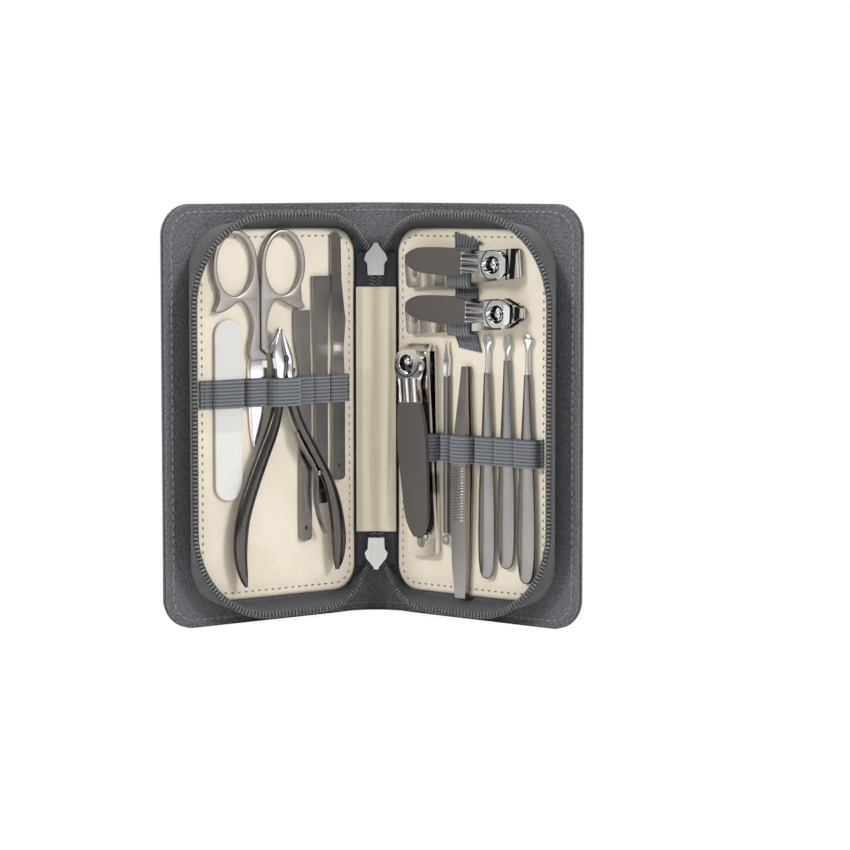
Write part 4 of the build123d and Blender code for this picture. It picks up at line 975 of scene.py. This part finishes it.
for look, names in looks.items():
    for name in names:
        dress(name, look)
for name in clippers:
    pinLow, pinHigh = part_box(f"{name}_clipper_pin")
    leverLow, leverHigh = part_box(f"{name}_clipper_lever")
    hub = (pinLow + pinHigh) / 2
    far = (leverLow + leverHigh) / 2
    heading = np.array((far - hub).normalized())
    dress(f"{name}_clipper_lever", leverLook(f"{name}Lever", np.array(hub) * 1000, heading))
    leafMiddle = np.array(sum(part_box(f"{name}_clipper_lower_leaf"), far * 0)) / 2
    leafRun = 2 * float(np.dot(leafMiddle - np.array(hub), heading) + 0.0033) * 1000
    inset, jawShadeStrength = ringHole[name]
    for leaf in ("lower_leaf", "upper_leaf"):
        dress(f"{name}_clipper_{leaf}", leafLook(f"{name}Clipper{leaf[:5].title()}", np.array(hub) * 1000, heading,
                                                 leafRun - inset, jawShadeStrength))
bevels = {0.5: [*steelStrips, *(f"{n}_clipper_lever" for n in clippers)], 0.15: ["nail_file"],
          0.25: [*sliders, *leaves], 0.3: ["tweezers"]}
for width, names in bevels.items():
    for name in names:
        soften = nodes[name].modifiers.new("edges", "BEVEL")
        soften.width, soften.segments = width / 1000, 3
        soften.limit_method, soften.angle_limit = "ANGLE", radians(38)
        soften.harden_normals = True

view = {"azimuth": radians(1.84), "distance": 1.146, "height": 0.1754, "tilt": 5.09, "turn": radians(0.95),
        "lens": 124.8, "sensor": 36.0}
azimuth, distance = view["azimuth"], view["distance"]
camera = bpy.data.objects.new("camera", bpy.data.cameras.new("camera"))
bpy.context.scene.collection.objects.link(camera)
camera.location = (distance * sin(azimuth), hingeY / 1000 - distance * cos(azimuth), view["height"])
camera.rotation_euler = (radians(90 - view["tilt"]), 0, azimuth - view["turn"])
camera.data.lens, camera.data.sensor_width = view["lens"], view["sensor"]
bpy.context.scene.camera = camera

lights = {"leftLight": {"at": (-1.15, -0.85, 0.85), "aim": (0, 0, 0.08), "size": 0.45, "power": 15},
          "rightLight": {"at": (1.15, -0.8, 0.8), "aim": (0, 0, 0.08), "size": 0.45, "power": 14},
          "topLight": {"at": (0.05, -0.1, 1.3), "aim": (0, 0, 0.05), "size": 0.8, "power": 9}}
for name, given in lights.items():
    lamp = bpy.data.lights.new(name, "AREA")
    lamp.energy, lamp.size = given["power"], given["size"]
    light = bpy.data.objects.new(name, lamp)
    light.location = given["at"]
    light.rotation_euler = (Vector(given["aim"]) - Vector(given["at"])).to_track_quat("-Z", "Y").to_euler()
    bpy.context.scene.collection.objects.link(light)

backgroundParts = {"sky": (0.97, 0.985, 1.0, 1), "skyStrength": 0.42, "floor": (0.86, 0.86, 0.86, 1),
                   "floorGlow": 1.07, "floorShare": 0.9, "floorReach": 6, "floorLevel": -0.0002}
world = bpy.data.worlds.new("studio")
bpy.context.scene.world = world
world.use_nodes = True
air = world.node_tree
sky = air.nodes["Background"]
sky.inputs["Color"].default_value = backgroundParts["sky"]
sky.inputs["Strength"].default_value = backgroundParts["skyStrength"]
backdrop = air.nodes.new("ShaderNodeBackground")
backdrop.inputs["Color"].default_value, backdrop.inputs["Strength"].default_value = (1, 1, 1, 1), 1.0
seenDirect, both = air.nodes.new("ShaderNodeLightPath"), air.nodes.new("ShaderNodeMixShader")
for origin, socket in ((seenDirect.outputs["Is Camera Ray"], 0), (sky.outputs[0], 1), (backdrop.outputs[0], 2)):
    air.links.new(origin, both.inputs[socket])
air.links.new(both.outputs[0], air.nodes["World Output"].inputs["Surface"])

floorMesh = bpy.data.meshes.new("paleFloor")
reach, level = backgroundParts["floorReach"], backgroundParts["floorLevel"]
floorMesh.from_pydata([(x * reach, y * reach, level) for x, y in ((-1, -1), (1, -1), (1, 1), (-1, 1))], [],
                      [(0, 1, 2, 3)])
floor = bpy.data.objects.new("paleFloor", floorMesh)
bpy.context.scene.collection.objects.link(floor)
pale = Graph("paleFloor", {"Roughness": 0.9})
pale.shader.inputs["Base Color"].default_value = backgroundParts["floor"]
seen = pale.node("ShaderNodeLightPath", {}, {}).outputs["Is Camera Ray"]
white = pale.node("ShaderNodeEmission", {}, {"Color": (1, 1, 1, 1), "Strength": backgroundParts["floorGlow"]})
blendOut = pale.node("ShaderNodeMixShader", {}, {1: pale.shader.outputs[0], 2: white.outputs[0]})
pale.feed(blendOut.inputs[0], Wave(pale, seen) * backgroundParts["floorShare"])
pale.tree.links.new(blendOut.outputs[0], pale.tree.nodes["Material Output"].inputs["Surface"])
floorMesh.materials.append(pale.material)
bpy.context.scene.view_settings.view_transform = "Standard"

print("scene made")
